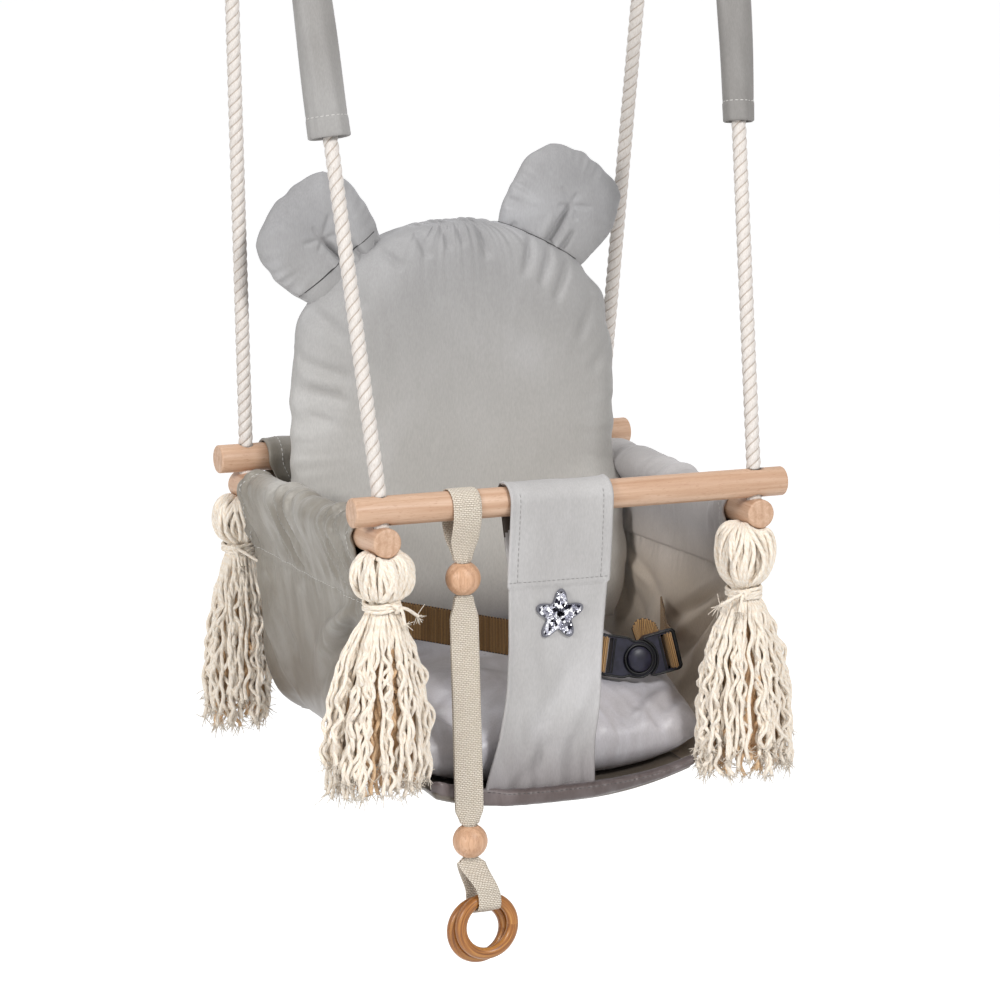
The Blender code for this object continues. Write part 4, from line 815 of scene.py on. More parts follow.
def wood(name, dark, body, light, axis, gloss=0.45, fine=1.0):
    """Growth rings round an axis, long grain and the short dark flecks of beech."""
    s = Surface(name, {"Coat Weight": 0.08, "Coat Roughness": 0.35})
    long, wide = 7.0 * fine, 210.0 * fine
    scale = tuple(long if k == axis else wide for k in range(3))
    grain = s.noise(s.place("Object", scale), 5.0, 0.9, 0.62)
    fleck_scale = tuple(190.0 if k == axis else 1300.0 for k in range(3))
    flecks = s.noise(s.place("Object", fleck_scale), 1.0)
    ring_scale = tuple(3.0 if k == axis else 46.0 for k in range(3))
    shift = tuple(0.0 if k == axis else 1.3 for k in range(3))
    place = s.place("Object", ring_scale, shift=shift)
    rings = s.wave(place, 5.0, 2.0, wave_type="RINGS", rings_direction="XYZ"[axis])
    colour = s.ramp(grain, (0.22, between(dark, body, 0.45)), (0.50, body), (0.80, light))
    colour = s.mixed(s.ramp(rings, (0.35, 0.0), (1.0, 0.28)), colour, dark)
    mark = s.ramp(flecks, (0.60, 0.0), (0.72, 0.42))
    colour = s.mixed(mark, colour, dark)
    normal = s.bump(flecks, 0.0001, 0.25)
    rough = s.ramp(grain, (0.3, gloss + 0.12), (0.7, gloss - 0.03))
    return s.finish(colour, normal, rough)


def cotton(name, groove, body, light, plies=0, pitch=0.006, depth=0.4):
    """Spun cotton: fibres along the yarn, and the twist of its plies where it has them."""
    s = Surface(name, {"Sheen Weight": 0.25, "Sheen Roughness": 0.6, "Roughness": 0.9})
    fibres = s.noise(s.place("UV", (26, 420, 1)), 3.0, 0.8)
    patches = s.noise(s.place("Object", (60, 60, 60)), 2.0)
    colour = s.ramp(fibres, (0.25, groove), (0.48, body), (0.75, light))
    colour = s.mixed(s.ramp(patches, (0.35, 0.0), (0.8, 0.35)), colour, body)
    normal = s.bump(fibres, 0.0006, 0.6)
    if plies:
        around, along, _ = s.split("UV")
        turn = s.math("MULTIPLY", around, float(plies))
        lift = s.math("MULTIPLY", along, 1.0 / pitch)
        phase = s.math("MULTIPLY", s.math("ADD", turn, lift), 2 * PI)
        twist = s.math("MULTIPLY_ADD", s.math("SINE", phase), 0.5, 0.5)
        colour = s.mixed(s.ramp(twist, (0.0, depth), (0.40, 0.0)), colour, groove)
        normal = s.bump(twist, 0.0006, 0.6, normal)
    return s.finish(colour, normal)


def rope_surface(name, groove, body, light):
    """Three strands: fine fibres along them and a thin darker line where they meet."""
    s = Surface(name, {"Sheen Weight": 0.2, "Sheen Roughness": 0.6, "Roughness": 0.9})
    fibres = s.noise(s.place("UV", (70, 240, 1)), 3.0, 0.6)
    patches = s.noise(s.place("Object", (90, 90, 90)), 2.0)
    colour = s.ramp(fibres, (0.25, between(groove, body, 0.5)), (0.48, body), (0.75, light))
    colour = s.mixed(s.ramp(patches, (0.35, 0.0), (0.8, 0.35)), colour, body)
    around, along, _ = s.split("UV")
    winding = s.math("MULTIPLY", along, -1.0 / ROPE_LAY)
    phase = s.math("MULTIPLY", s.math("ADD", around, winding), 6 * PI)
    meeting = s.math("MULTIPLY_ADD", s.math("COSINE", phase), 0.5, 0.5)
    colour = s.mixed(s.ramp(meeting, (0.0, 0.80), (0.035, 0.25), (0.10, 0.0)), colour, groove)
    normal = s.bump(fibres, 0.0005, 0.5)
    return s.finish(colour, s.bump(s.ramp(meeting, (0.0, 0.0), (0.12, 1.0)), 0.0006, 0.6, normal))


def turned_wood(name, dark, body, light, gloss=0.35):
    """Wood of a ring, with its grain along the bar."""
    s = Surface(name, {"Coat Weight": 0.15, "Coat Roughness": 0.25})
    grain = s.noise(s.place("UV", (16, 22, 1)), 4.0, 0.6, 0.6)
    fine = s.noise(s.place("UV", (60, 120, 1)), 3.0)
    colour = s.ramp(grain, (0.30, dark), (0.50, body), (0.72, light))
    colour = s.mixed(s.ramp(fine, (0.55, 0.0), (0.75, 0.45)), colour, dark)
    return s.finish(colour, s.bump(fine, 0.0001, 0.2), s.ramp(grain, (0.3, gloss + 0.1), (0.7, gloss)))


def webbing(name, groove, body, light, row, column, roughness=0.8):
    """Woven tape: offset rows of yarn across its length."""
    s = Surface(name, {"Roughness": roughness, "Sheen Weight": 0.15, "Sheen Roughness": 0.5})
    place = s.place("UV", (1, 1, 1))
    colours = {"Color1": (1, 1, 1, 1), "Color2": (0.8, 0.8, 0.8, 1), "Mortar": (0, 0, 0, 1)}
    sizes = {"Scale": 1.0, "Mortar Size": row * 0.22, "Mortar Smooth": 1.0}
    sizes.update({"Brick Width": column, "Row Height": row})
    yarn = s.node("TexBrick", {"Vector": place, **colours, **sizes}, "Color")
    fibre = s.noise(s.place("UV", (900, 900, 1)), 2.0)
    colour = s.ramp(yarn, (0.05, groove), (0.55, body), (1.0, light))
    colour = s.mixed(1.0, colour, s.ramp(fibre, (0.3, 0.85), (0.7, 1.08)), "MULTIPLY")
    normal = s.bump(yarn, 0.0006, 0.9)
    normal = s.bump(fibre, 0.0003, 0.3, normal)
    return s.finish(colour, normal)


def plastic(name, body, edge):
    s = Surface(name, {"Specular IOR Level": 0.32})
    grain = s.noise(s.place("Object", (2200, 2200, 2200)), 2.0)
    wear = s.noise(s.place("Object", (160, 160, 160)), 4.0)
    colour = s.ramp(wear, (0.35, body), (0.8, edge))
    return s.finish(colour, s.bump(grain, 0.0001, 0.35), s.ramp(wear, (0.3, 0.34), (0.8, 0.46)))


def metal(name, body, light, roughness):
    s = Surface(name, {"Metallic": 1.0})
    marks = s.noise(s.place("Object", (900, 900, 90)), 3.0)
    colour = s.ramp(marks, (0.3, body), (0.75, light))
    rough = s.ramp(marks, (0.3, roughness), (0.8, roughness + 0.18))
    return s.finish(colour, s.bump(marks, 0.0001, 0.2), rough)


def foil(name, dark, light):
    """Crumpled foil: small flat facets, each with its own brightness, a painted reflection on top of the
    bumped tilt of each facet.
    """
    s = Surface(name, {"Metallic": 1.0, "Roughness": 0.22})
    spot = s.place("Object", (330, 330, 330))
    cells = s.node("TexVoronoi", {"Vector": spot, "Scale": 1.0}, "Color")
    tone = s.node("SeparateColor", {0: cells}, 0)
    edges = s.node("TexVoronoi", {"Vector": spot, "Scale": 1.0}, "Distance", feature="F1")
    # Each facet's brightness, from dark to near white, is a painted reflection.
    colour = s.ramp(tone, (0.15, dark), (0.45, light), (0.8, (0.95, 0.95, 0.97, 1)))
    normal = s.bump(tone, 0.0016, 1.0)
    return s.finish(colour, s.bump(edges, 0.0012, 0.9, normal))


# Back cushion and ears: lighter and warmer towards the bottom, painted light.
LINEN = velour(
    "velour_cloth", rgb(130, 129, 130), rgb(154, 153, 154), rgb(176, 176, 179), 0.14,
    rgb(202, 198, 190), -0.08, 0.21,
)
SLEEVE = velour("velour_sleeve", rgb(114, 111, 108), rgb(138, 135, 132), rgb(160, 158, 156), 0.12)
# Outer left panel, back panel and base: darker and browner towards the bottom, painted shade.
SLING = velour(
    "velour_sling", rgb(110, 103, 93), rgb(141, 135, 125), rgb(194, 191, 186), 0.34,
    rgb(80, 66, 52), -0.22, -0.08, 0.48,
)
# A lighter copy of the sling velour for the inside of the right panel: painted light on a face in shade,
# lighter and beiger still towards the bottom.
INNER_SLING_PAINTED_LIGHT = velour(
    "velour_inner_sling_painted_light", rgb(156, 152, 151), rgb(178, 174, 173), rgb(200, 196, 196), 0.12,
    rgb(206, 190, 170), -0.11, -0.05,
)
# A much darker copy of the sling velour for the front lip: painted shade under the seat cushion.
SHADED_LIP_VELOUR = velour("velour_lip_painted_shade", rgb(56, 46, 45), rgb(88, 76, 74), rgb(128, 118, 118), 0.30, matt=0.52)
# Seat cushion: darker towards its lower front edge, painted shade.
SATIN = velour(
    "velour_seat", rgb(146, 141, 141), rgb(183, 179, 182), rgb(214, 213, 222), 0.34,
    rgb(104, 98, 100), -0.262, -0.212, 0.42,
)
# Crotch panel: darker and browner towards its foot, painted shade.
PALE = velour(
    "velour_pale_cloth", rgb(158, 155, 154), rgb(181, 179, 178), rgb(196, 194, 195), 0.16,
    rgb(92, 80, 82), -0.262, -0.180,
)
# A near-black copy of the crotch velour for the inner layer of its loop over the dowel: painted shade.
PALE_PAINTED_SHADE = velour("velour_pale_cloth_painted_shade", rgb(52, 44, 38), rgb(70, 60, 52), rgb(92, 82, 74), 0.12)
BEECH = [
    wood(f"beech_{'xyz'[axis]}", rgb(162, 118, 86), rgb(201, 166, 139), rgb(220, 190, 166), axis)
    for axis in range(3)
]
BEAD_WOOD = wood("bead_beech", rgb(150, 104, 72), rgb(206, 163, 130), rgb(222, 186, 156), 2, 0.45, 2.2)
RING_WOOD = turned_wood("ring_wood_oiled", rgb(98, 54, 18), rgb(160, 100, 40), rgb(192, 138, 70))
COTTON = cotton("knot_cotton", rgb(206, 192, 174), rgb(228, 221, 214), rgb(238, 232, 226))
ROPE = rope_surface("rope_cotton", rgb(168, 150, 130), rgb(223, 216, 210), rgb(234, 229, 224))
YARN_TWIST = (2, 0.0070, 0.28)
TASSEL = cotton("tassel_cotton_yarn", rgb(226, 200, 166), rgb(246, 236, 222), rgb(252, 247, 239), *YARN_TWIST)
# A darker tan copy of the tassel cotton for the inner yarns and core of each skirt: painted shade between the
# yarns.
CORE_PAINTED_SHADE = cotton("tassel_core_painted_shade", rgb(204, 158, 110), rgb(230, 194, 152), rgb(242, 218, 186), *YARN_TWIST)
STRAP = webbing("strap_cotton", rgb(164, 144, 118), rgb(213, 200, 182), rgb(234, 225, 211), 0.0016, 0.0032)
BELT = webbing("belt_polyester", rgb(36, 19, 6), rgb(112, 72, 30), rgb(186, 146, 94), 0.0013, 0.0600)
# Dark thread for the lip stitches; on the cords in the creases round the ears it is painted shade.
DARK_THREAD_AND_CREASE_SHADE = cotton("dark_thread_and_crease_shade", rgb(24, 22, 21), rgb(38, 36, 35), rgb(54, 52, 50))
THREAD = cotton("thread_grey", rgb(120, 118, 116), rgb(142, 140, 138), rgb(160, 158, 156))
PALE_THREAD = cotton("thread_pale", rgb(186, 183, 178), rgb(206, 204, 200), rgb(222, 220, 216))
PLASTIC = plastic("buckle_nylon", rgb(21, 20, 33), rgb(38, 37, 56))
BLACK = plastic("buckle_rim_black", rgb(5, 5, 7), rgb(12, 12, 16))
STEEL = metal("ring_steel_polished", rgb(196, 196, 200), rgb(226, 226, 230), 0.22)
SEQUINS = foil("sequin_foil", rgb(40, 40, 50), rgb(170, 170, 182))
STAR_RIM = velour("star_rim_felt", rgb(74, 74, 80), rgb(104, 104, 112), rgb(140, 140, 148), 0.3)


# Camera and ropes


def make_camera():
    data = bpy.data.cameras.new("camera")
    data.sensor_width = 36
    data.lens = CAMERA_LENS
    data.shift_x, data.shift_y = CAMERA_SHIFT
    data.clip_end = 200
    camera = placed("camera", data)
    level = math.cos(CAMERA_ELEVATION)
    across, away = math.sin(CAMERA_AZIMUTH) * level, -math.cos(CAMERA_AZIMUTH) * level
    back = Vector((across, away, math.sin(CAMERA_ELEVATION)))
    camera.location = SEAT + back * CAMERA_DISTANCE
    camera.rotation_euler = back.to_track_quat("Z", "Y").to_euler()
    bpy.context.scene.camera = camera


def rope_frame(side, end):
    """The rope's foot, its direction, the direction towards the seat's middle, and across both."""
    lean = FRONT_LEAN_RATIO if end == FRONT else REAR_LEAN_RATIO
    foot = Vector((side * HALF_X, end * HALF_Y, 0))
    along = Vector((side * ROPE_SPREAD_RATIO, -end * lean, 1)).normalized()
    across = (Vector((1, 0, 0)) - along.x * along).normalized()
    inward = across.cross(along) * (1 if end == REAR else -1)
    if inward.y * end > 0:
        inward = -inward
    return foot, along, inward, across


def eye_height(along):
    """Length along the rope from its foot to the level of the eye's neck."""
    return HANG_HEIGHT / along.z + RING_BAR_R + GAP + ROPE_R - EYE_BEND_R - EYE_STRAIGHT


def rope_route(side, end):
    """Up the straight rope, round the eye and back down beside it to the seizing's foot."""
    foot, along, inward, _ = rope_frame(side, end)
    neck = eye_height(along)
    half = EYE_LEG_SPACING / 2
    swell = EYE_BEND_R - half
    shape = [(-half - swell * smoothstep(0, 1, i / 5), neck + EYE_STRAIGHT * i / 5) for i in range(1, 6)]
    for i in range(1, 8):
        angle = PI * i / 8
        shape.append((-EYE_BEND_R * math.cos(angle), neck + EYE_STRAIGHT + EYE_BEND_R * math.sin(angle)))
    shape += [(half + swell * smoothstep(0, 1, i / 5), neck + EYE_STRAIGHT * i / 5) for i in range(5, -1, -1)]
    shape += [(half, neck - (SEIZING_LENGTH + ROPE_R) * i / 2) for i in range(1, 3)]
    centre = foot + inward * half
    start = math.sqrt(DOWEL_R**2 - ROPE_R**2) + GAP
    straight = [foot + along * mix(start, neck, i / 14) for i in range(15)]
    return straight + [centre + inward * x + along * z for x, z in shape]


def rope_outline():
    """A cross-section of three strands, as shares of the rope's radius."""
    centre = ROPE_R - ROPE_STRAND_R
    found = []
    for j in range(ROPE_SIDES):
        angle = 2 * PI * j / ROPE_SIDES
        off = (angle + PI / 3) % (2 * PI / 3) - PI / 3
        reach = centre * math.cos(off) + math.sqrt(ROPE_STRAND_R**2 - (centre * math.sin(off)) ** 2)
        found.append(reach / ROPE_R)
    return np.array(found)


def make_rope(corner):
    """A three-strand rope from its dowel up, round its eye and back. Returns it with its middle line."""
    side, end = CORNERS[corner]
    route = smooth_path(rope_route(side, end), 400)
    shape = Shape()
    sweep(shape, route, ROPE_R, ROPE_SIDES, outline=rope_outline(), winding=2 * PI / ROPE_LAY)
    rope = shape.build(f"cotton_rope_{corner}", ROPE)
    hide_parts(f"rope_{corner}")
    return rope, route


def make_seizing(corner):
    """Thin cord wound round both legs of the eye."""
    side, end = CORNERS[corner]
    foot, along, inward, across = (np.array(v) for v in rope_frame(side, end))
    half = EYE_LEG_SPACING / 2
    centre = foot + inward * half
    top = eye_height(Vector(along)) - GAP
    turns = int(SEIZING_LENGTH / (2 * SEIZING_CORD_R)) - 1
    t = np.linspace(0, turns, turns * 40 + 1)
    angle = 2 * PI * t
    shift = half * np.tanh(4 * np.cos(angle))
    radius = ROPE_R + GAP * 2 + SEIZING_CORD_R
    z = top - SEIZING_LENGTH + SEIZING_CORD_R + (SEIZING_LENGTH - 2 * SEIZING_CORD_R) * t / turns
    line = centre + np.outer(shift + radius * np.cos(angle), inward)
    line = line + np.outer(radius * np.sin(angle), across) + np.outer(z, along)
    shape = Shape()
    sweep(shape, line, SEIZING_CORD_R, 8)
    made = shape.build(f"seizing_cord_{corner}", TASSEL)
    ropes = "front_ropes" if end == FRONT else "rear_ropes"
    return finished(made, ropes, "cotton_rope", f"rope_seizing_{corner}")


def ring(shape, centre, radius, bar, columns, sides, side_a=(1, 0, 0), side_b=(0, 0, 1)):
    """A round bar bent into a ring in the plane of its two sides."""
    angle, turn = full_turn(columns), full_turn(sides)
    side_a, side_b = np.array(side_a, float), np.array(side_b, float)
    normal = np.cross(side_a, side_b)
    out = np.cos(angle)[:, None] * side_a + np.sin(angle)[:, None] * side_b
    grid = np.array(centre) + out[:, None] * (radius + bar * np.cos(turn))[None, :, None]
    grid = grid + normal * (bar * np.sin(turn))[None, :, None]
    places = np.stack(np.meshgrid(turn / (2 * PI), angle * radius), -1)
    closed_skin(shape, grid[:-1, :-1], places)


def make_hang_ring(corner):
    side, end = CORNERS[corner]
    foot, along, inward, _ = rope_frame(side, end)
    eye_gap = FRONT_EYE_GAP if end == FRONT else REAR_EYE_GAP
    reach = eye_height(along) + EYE_STRAIGHT + EYE_BEND_R - ROPE_R - eye_gap - RING_BAR_R
    centre = foot + along * reach + inward * EYE_LEG_SPACING / 2 + Vector((0, 0, RING_R))
    shape = Shape()
    ring(shape, centre, RING_R, RING_BAR_R, 72, 20)
    made = shape.build(f"steel_ring_{corner}", STEEL, tidy=True)
    return finished(made, "hangers", "ring_steel", f"hang_ring_{corner}")


def make_hangings():
    for corner, (_, end) in CORNERS.items():
        rope, route = make_rope(corner)
        ropes = "front_ropes" if end == FRONT else "rear_ropes"
        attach(rope, ropes)
        pieces = [make_hang_ring(corner), make_seizing(corner)]


make_camera()
make_hangings()


# Floor, light and white surroundings


def seen_rays(tree):
    """1 for rays from the camera, be it straight, off something shiny or through glass, and else 0."""
    path = tree.nodes.new("ShaderNodeLightPath")
    seen = path.outputs["Is Camera Ray"]
    for name in ("Is Glossy Ray", "Is Transmission Ray"):
        most = tree.nodes.new("ShaderNodeMath")
        most.operation = "MAXIMUM"
        tree.links.new(seen, most.inputs[0])
        tree.links.new(path.outputs[name], most.inputs[1])
        seen = most.outputs[0]
    return seen


def make_studio():
    floor_z = CAD_BOX[0][2] - FLOOR_DROP
    data = bpy.data.meshes.new("floor")
    spots = [(x * FLOOR_REACH, y * FLOOR_REACH, floor_z) for x, y in ((-1, -1), (1, -1), (1, 1), (-1, 1))]
    data.from_pydata(spots, [], [(0, 1, 2, 3)])
    floor = placed("floor", data)
    surface = bpy.data.materials.new("floor_paper")
    surface.use_nodes = True
    tree = surface.node_tree
    shader = tree.nodes["Principled BSDF"]
    shader.inputs["Base Color"].default_value = (0.86, 0.86, 0.86, 1)
    shader.inputs["Roughness"].default_value = 0.9
    shader.inputs["Emission Color"].default_value = (1, 1, 1, 1)
    glow = tree.nodes.new("ShaderNodeMath")
    glow.operation = "MULTIPLY"
    glow.inputs[1].default_value = FLOOR_GLOW
    tree.links.new(seen_rays(tree), glow.inputs[0])
    tree.links.new(glow.outputs[0], shader.inputs["Emission Strength"])
    data.materials.append(surface)

    world = bpy.data.worlds.new("studio")
    bpy.context.scene.world = world
    world.use_nodes = True
    tree = world.node_tree
    back = tree.nodes["Background"]
    back.inputs["Color"].default_value = (1, 1, 1, 1)
    level = tree.nodes.new("ShaderNodeMapRange")
    level.inputs["To Min"].default_value = WORLD_LIGHT
    level.inputs["To Max"].default_value = 1.0
    tree.links.new(seen_rays(tree), level.inputs["Value"])
    tree.links.new(level.outputs[0], back.inputs["Strength"])


def make_lamps():
    bpy.context.scene.view_settings.view_transform = "Standard"
    target = SEAT + Vector(LAMP_TARGET)
    for name, place, size, power in LAMPS:
        data = bpy.data.lights.new(name, "AREA")
        data.shape = "DISK"
        data.size = size
        data.energy = power
        lamp = placed(name, data)
        lamp.location = SEAT + Vector(place)
        lamp.rotation_euler = (lamp.location - target).to_track_quat("Z", "Y").to_euler()


make_studio()
make_lamps()


# Dowels, beads and rings


def make_dowel(name, centre, axis, half, surface):
    """A round bar with eased ends, drilled for its two ropes."""
    edge = DOWEL_EDGE_R
    profile = [(AXIS_R, -half), (DOWEL_R * 0.6, -half)]
    for i in range(7):
        angle = PI / 2 * i / 6
        profile.append((DOWEL_R - edge + edge * math.sin(angle), -half + edge - edge * math.cos(angle)))
    count = 24
    profile += [(DOWEL_R, mix(-half + edge, half - edge, i / count)) for i in range(1, count)]
    profile += [(r, -z) for r, z in reversed(profile[:9])]
    shape = Shape()
    lathe(shape, centre, profile, 64, axis)
    bar = shape.build(name, surface, tidy=True)
    welded(bar, 0.00005)
    reach = HALF_X if axis[0] else HALF_Y
    for end in (-1, 1):
        at = np.array(centre) + np.array(axis, float) * end * reach
        way = (0, 0, 1)
        if axis[0]:
            way = tuple(rope_frame(end, FRONT if at[1] < 0 else REAR)[1])
        hole = Shape()
        r, z = ROPE_R + DRILL_ROOM, DRILL_HALF_LENGTH
        lathe(hole, at, [(AXIS_R, -z), (r, -z), (r, z), (AXIS_R, z)], 32, way)
        drill = hole.build("drill", surface, tidy=True)
        step = bar.modifiers.new("hole", "BOOLEAN")
        step.operation = "DIFFERENCE"
        step.solver = "EXACT"
        step.object = drill
        bpy.context.view_layer.update()
        cut = bpy.data.meshes.new_from_object(bar.evaluated_get(bpy.context.evaluated_depsgraph_get()))
        bar.modifiers.clear()
        old = bar.data
        bar.data = cut
        bpy.data.meshes.remove(old)
        bpy.data.objects.remove(drill)
    bar.data.shade_smooth()
    bar.data.set_sharp_from_angle(angle=math.radians(40))
    return bar


def make_frame():
    for end, label in ((FRONT, "front"), (REAR, "rear")):
        bar = make_dowel(f"beech_{label}_dowel", (0, end * HALF_Y, 0), (1, 0, 0), CROSS_DOWEL_HALF, BEECH[0])
        finished(bar, "seat", "beech", f"{label}_dowel")
    for side, label in ((LEFT, "left"), (RIGHT, "right")):
        place = (side * HALF_X, 0, SIDE_DOWEL_Z)
        bar = make_dowel(f"beech_{label}_side_dowel", place, (0, 1, 0), SIDE_DOWEL_HALF, BEECH[1])
        finished(bar, "seat", "beech", f"{label}_side_dowel")
    for corner in CORNERS:
        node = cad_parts[f"rope_knot_{corner}"]
        node.data.materials.clear()
        node.data.materials.append(COTTON)


def strap_x(drop):
    below = smoothstep(LOWER_BEAD_DROP + BEAD_R, TOY_RING_DROP, drop)
    return STRAP_X + STRAP_BEAD_LEAN * drop / LOWER_BEAD_DROP + STRAP_RING_LEAN * below


def make_bead(name, node, drop):
    start = math.asin(BEAD_HOLE_R / BEAD_R)
    angles = [mix(start, PI - start, i / 36) for i in range(37)]
    profile = [(BEAD_R * math.sin(a), -BEAD_R * math.cos(a)) for a in angles]
    inner = profile[-1][1] - 0.0008
    profile += [(BEAD_HOLE_R - 0.0004, inner), (BEAD_HOLE_R - 0.0004, -inner)]
    shape = Shape()
    lathe(shape, (strap_x(drop), -HALF_Y, -drop), profile, 64, closed=True)
    finished(shape.build(name, BEAD_WOOD, tidy=True), "strap", "beech", node)


def make_toys():
    make_bead("wooden_upper_bead", "upper_bead", UPPER_BEAD_DROP)
    make_bead("wooden_lower_bead", "lower_bead", LOWER_BEAD_DROP)
    for label, end in (("front", FRONT), ("rear", REAR)):
        behind = 0.5 + end / 2
        y = -HALF_Y + end * (TOY_RING_BAR_R + GAP)
        centre = np.array((strap_x(TOY_RING_DROP), y, -TOY_RING_DROP - TOY_RING_R))
        centre = centre - behind * np.array([REAR_RING_SHIFT, 0, REAR_RING_DROP])
        shape = Shape()
        ring(shape, centre, TOY_RING_R, TOY_RING_BAR_R, 96, 24)
        made = shape.build(f"wooden_{label}_ring", RING_WOOD, tidy=True)
        finished(made, f"ring_{label}", "ring_wood", f"toy_ring_{label}")


make_frame()
make_toys()


# Grip sleeves


def make_sleeve(label, corner):
    """A tube of cloth round a front rope, gathered at its top and hemmed at its foot."""
    side, end = CORNERS[corner]
    low = eye_height(rope_frame(side, end)[1]) - GAP - SEIZING_LENGTH - SLEEVE_TOP_ROOM - SLEEVE_LENGTH
    foot, along, inward, across = (np.array(v) for v in rope_frame(side, end))
    steps, sides = 90, 72
    t = np.linspace(0, 1, steps + 1)[:, None]
    angle = full_turn(sides)[None]
    rope_fit = ROPE_R + 3 * GAP
    swell = 1 + SLEEVE_SWELL_RATIO * np.sin(PI * t) - SLEEVE_TWIST_RATIO * (1 - t) * side
    gather = smoothstep(0.80, 1.0, t)
    wide = mix(SLEEVE_HALF_WIDTH * swell, rope_fit + SLEEVE_WALL, gather)
    deep = mix(SLEEVE_HALF_DEPTH * swell, rope_fit + SLEEVE_WALL, gather)
    z = low + SLEEVE_LENGTH * t
    crease = 0.0006 * np.sin(3 * angle + 5 * t + side) * (1 - gather)
    crease = crease + 0.0007 * gather * np.sin(14 * angle + 3 * side)
    crease = crease + gathers(angle * 0.014, z - low + angle * 0, 0.012, 0.05, 0.0004, 7 + side)
    hem = 0.0004 * np.exp(-(((z - low - SLEEVE_HEM) / 0.0011) ** 2))
    crease = crease - hem + 0.0004 * smoothstep(SLEEVE_HEM, SLEEVE_HEM - 0.002, z - low)

    def around(inset):
        w, d = wide - inset + crease, deep - inset + crease
        out = (w * np.cos(angle))[..., None] * across + (d * np.sin(angle))[..., None] * inward
        return foot + out + z[..., None] * along

    outer, inner = around(0), around(SLEEVE_WALL)
    lip = around(SLEEVE_WALL / 2)[:1] - along * SLEEVE_WALL * 0.4
    crown = around(SLEEVE_WALL / 2)[-1:] + along * SLEEVE_WALL * 0.4
    grid = np.concatenate([outer, crown, inner[::-1], lip, outer[:1]])
    shape = Shape()
    v = length_along(grid[:, 0])
    places = np.stack(np.meshgrid(np.arange(sides + 1) / sides * 0.09, v), -1)
    closed_skin(shape, grid[:-1, :-1], places)
    made = shape.build(f"{label}_grip_cloth", SLEEVE, tidy=True)
    finished(made, f"grip_{label}", "velour", f"grip_sleeve_{label}")
    row = int(SLEEVE_HEM / SLEEVE_LENGTH * steps)
    line = outer[row] + unit(outer[row] - (foot + along * z[row, 0])) * THREAD_LIFT
    seam = stitches(f"{label}_grip_stitches", [line], PALE_THREAD)
    finished(seam, f"grip_{label}", "velour")


make_sleeve("left", "fl")
make_sleeve("right", "fr")


# Tassels


def neck_height(corner):
    return SIDE_DOWEL_Z - NECK_DROP - NECK_EXTRA[corner]


def tassel_centre(corner):
    side, end = CORNERS[corner]
    return side * HALF_X + TASSEL_SHIFT[corner], end * HALF_Y


def under_dowel(points, side, reach):
    """Moves points that lie in the side dowel out to its surface."""
    off = points[..., [0, 2]] - np.array([side * HALF_X, SIDE_DOWEL_Z])
    away = np.linalg.norm(off, axis=-1, keepdims=True)
    moved = off * np.maximum(1, reach / np.maximum(away, 1e-6))
    points = points.copy()
    points[..., 0] = moved[..., 0] + side * HALF_X
    points[..., 2] = moved[..., 1] + SIDE_DOWEL_Z
    return points


def make_head(corner, rng):
    """Yarns from under the dowel down to the neck in three layers, over a core."""
    side, _ = CORNERS[corner]
    x, y = tassel_centre(corner)
    kind = corner[0]
    radius = HEAD_R[kind]
    count = HEAD_STRANDS[kind]
    yarn = HEAD_YARN_R
    neck = NECK_R - yarn
    neck_z = neck_height(corner)
    longer = 1 + NECK_EXTRA[corner] / (NECK_DROP - HEAD_TOP_DROP)
    knots = [
        (0.10 * radius, HEAD_TOP - 0.0010),
        (0.50 * radius, HEAD_TOP - 0.0005),
        (0.82 * radius, HEAD_TOP - 0.0050 * longer),
        (0.97 * radius, HEAD_TOP - 0.0135 * longer),
        (0.97 * radius, HEAD_TOP - 0.0240 * longer),
        (0.80 * radius, HEAD_TOP - 0.0340 * longer),
        (neck + 0.0022, neck_z + TIE_HALF_HEIGHT + 0.0030),
        (neck, neck_z + TIE_HALF_HEIGHT),
        (neck, neck_z - TIE_HALF_HEIGHT - 0.0010),
    ]
    line = smooth_path(knots, 34)
    t = np.linspace(0, 1, len(line))
    swell = np.sin(PI * t)
    lean = rng.uniform(0.25, 0.45) * rng.choice([-1, 1])
    phase = rng.uniform(0, 2 * PI, 3)
    paths = []
    for k in range(count):
        layer = (k % 3) * HEAD_LAYER
        angle = 2 * PI * (k + rng.uniform(-0.7, 0.7)) / count
        drift = rng.normal(scale=0.26)
        wander = 0.12 * np.sin(rng.uniform(5, 9) * t + rng.uniform(0, 6))
        turn = angle + (drift + lean * np.cos(angle + phase[0])) * swell + wander
        loose = rng.uniform(-1.8, 1.3)
        uneven = 1 + 0.09 * np.sin(2 * angle + phase[1]) * swell
        uneven = uneven + 0.06 * np.sin(3 * angle + 3 * t + phase[2]) * swell
        r = line[:, 0] * uneven - yarn - layer + 0.0014 * swell**0.7 * loose
        r = np.maximum(r, 0.0008)
        z = line[:, 1] + 0.0026 * swell * rng.uniform(-1, 1)
        paths.append(np.stack([x + r * np.cos(turn), y + r * np.sin(turn), z], -1))
    paths = under_dowel(np.array(paths), side, DOWEL_R + yarn + SOFT_GAP)
    shape = Shape()
    sweep(shape, paths, yarn, 8)
    core = [(max(r * 0.80 - 0.002, AXIS_R), z - 0.004) for r, z in knots]
    core[0] = (AXIS_R, core[0][1])
    core.append((AXIS_R, core[-1][1]))
    lathe(shape, (x, y, 0), core[::-1], 24)
    made = shape.build(f"yarn_head_{corner}", TASSEL)
    finished(made, "seat", "tassel_cotton", f"tassel_head_{corner}")


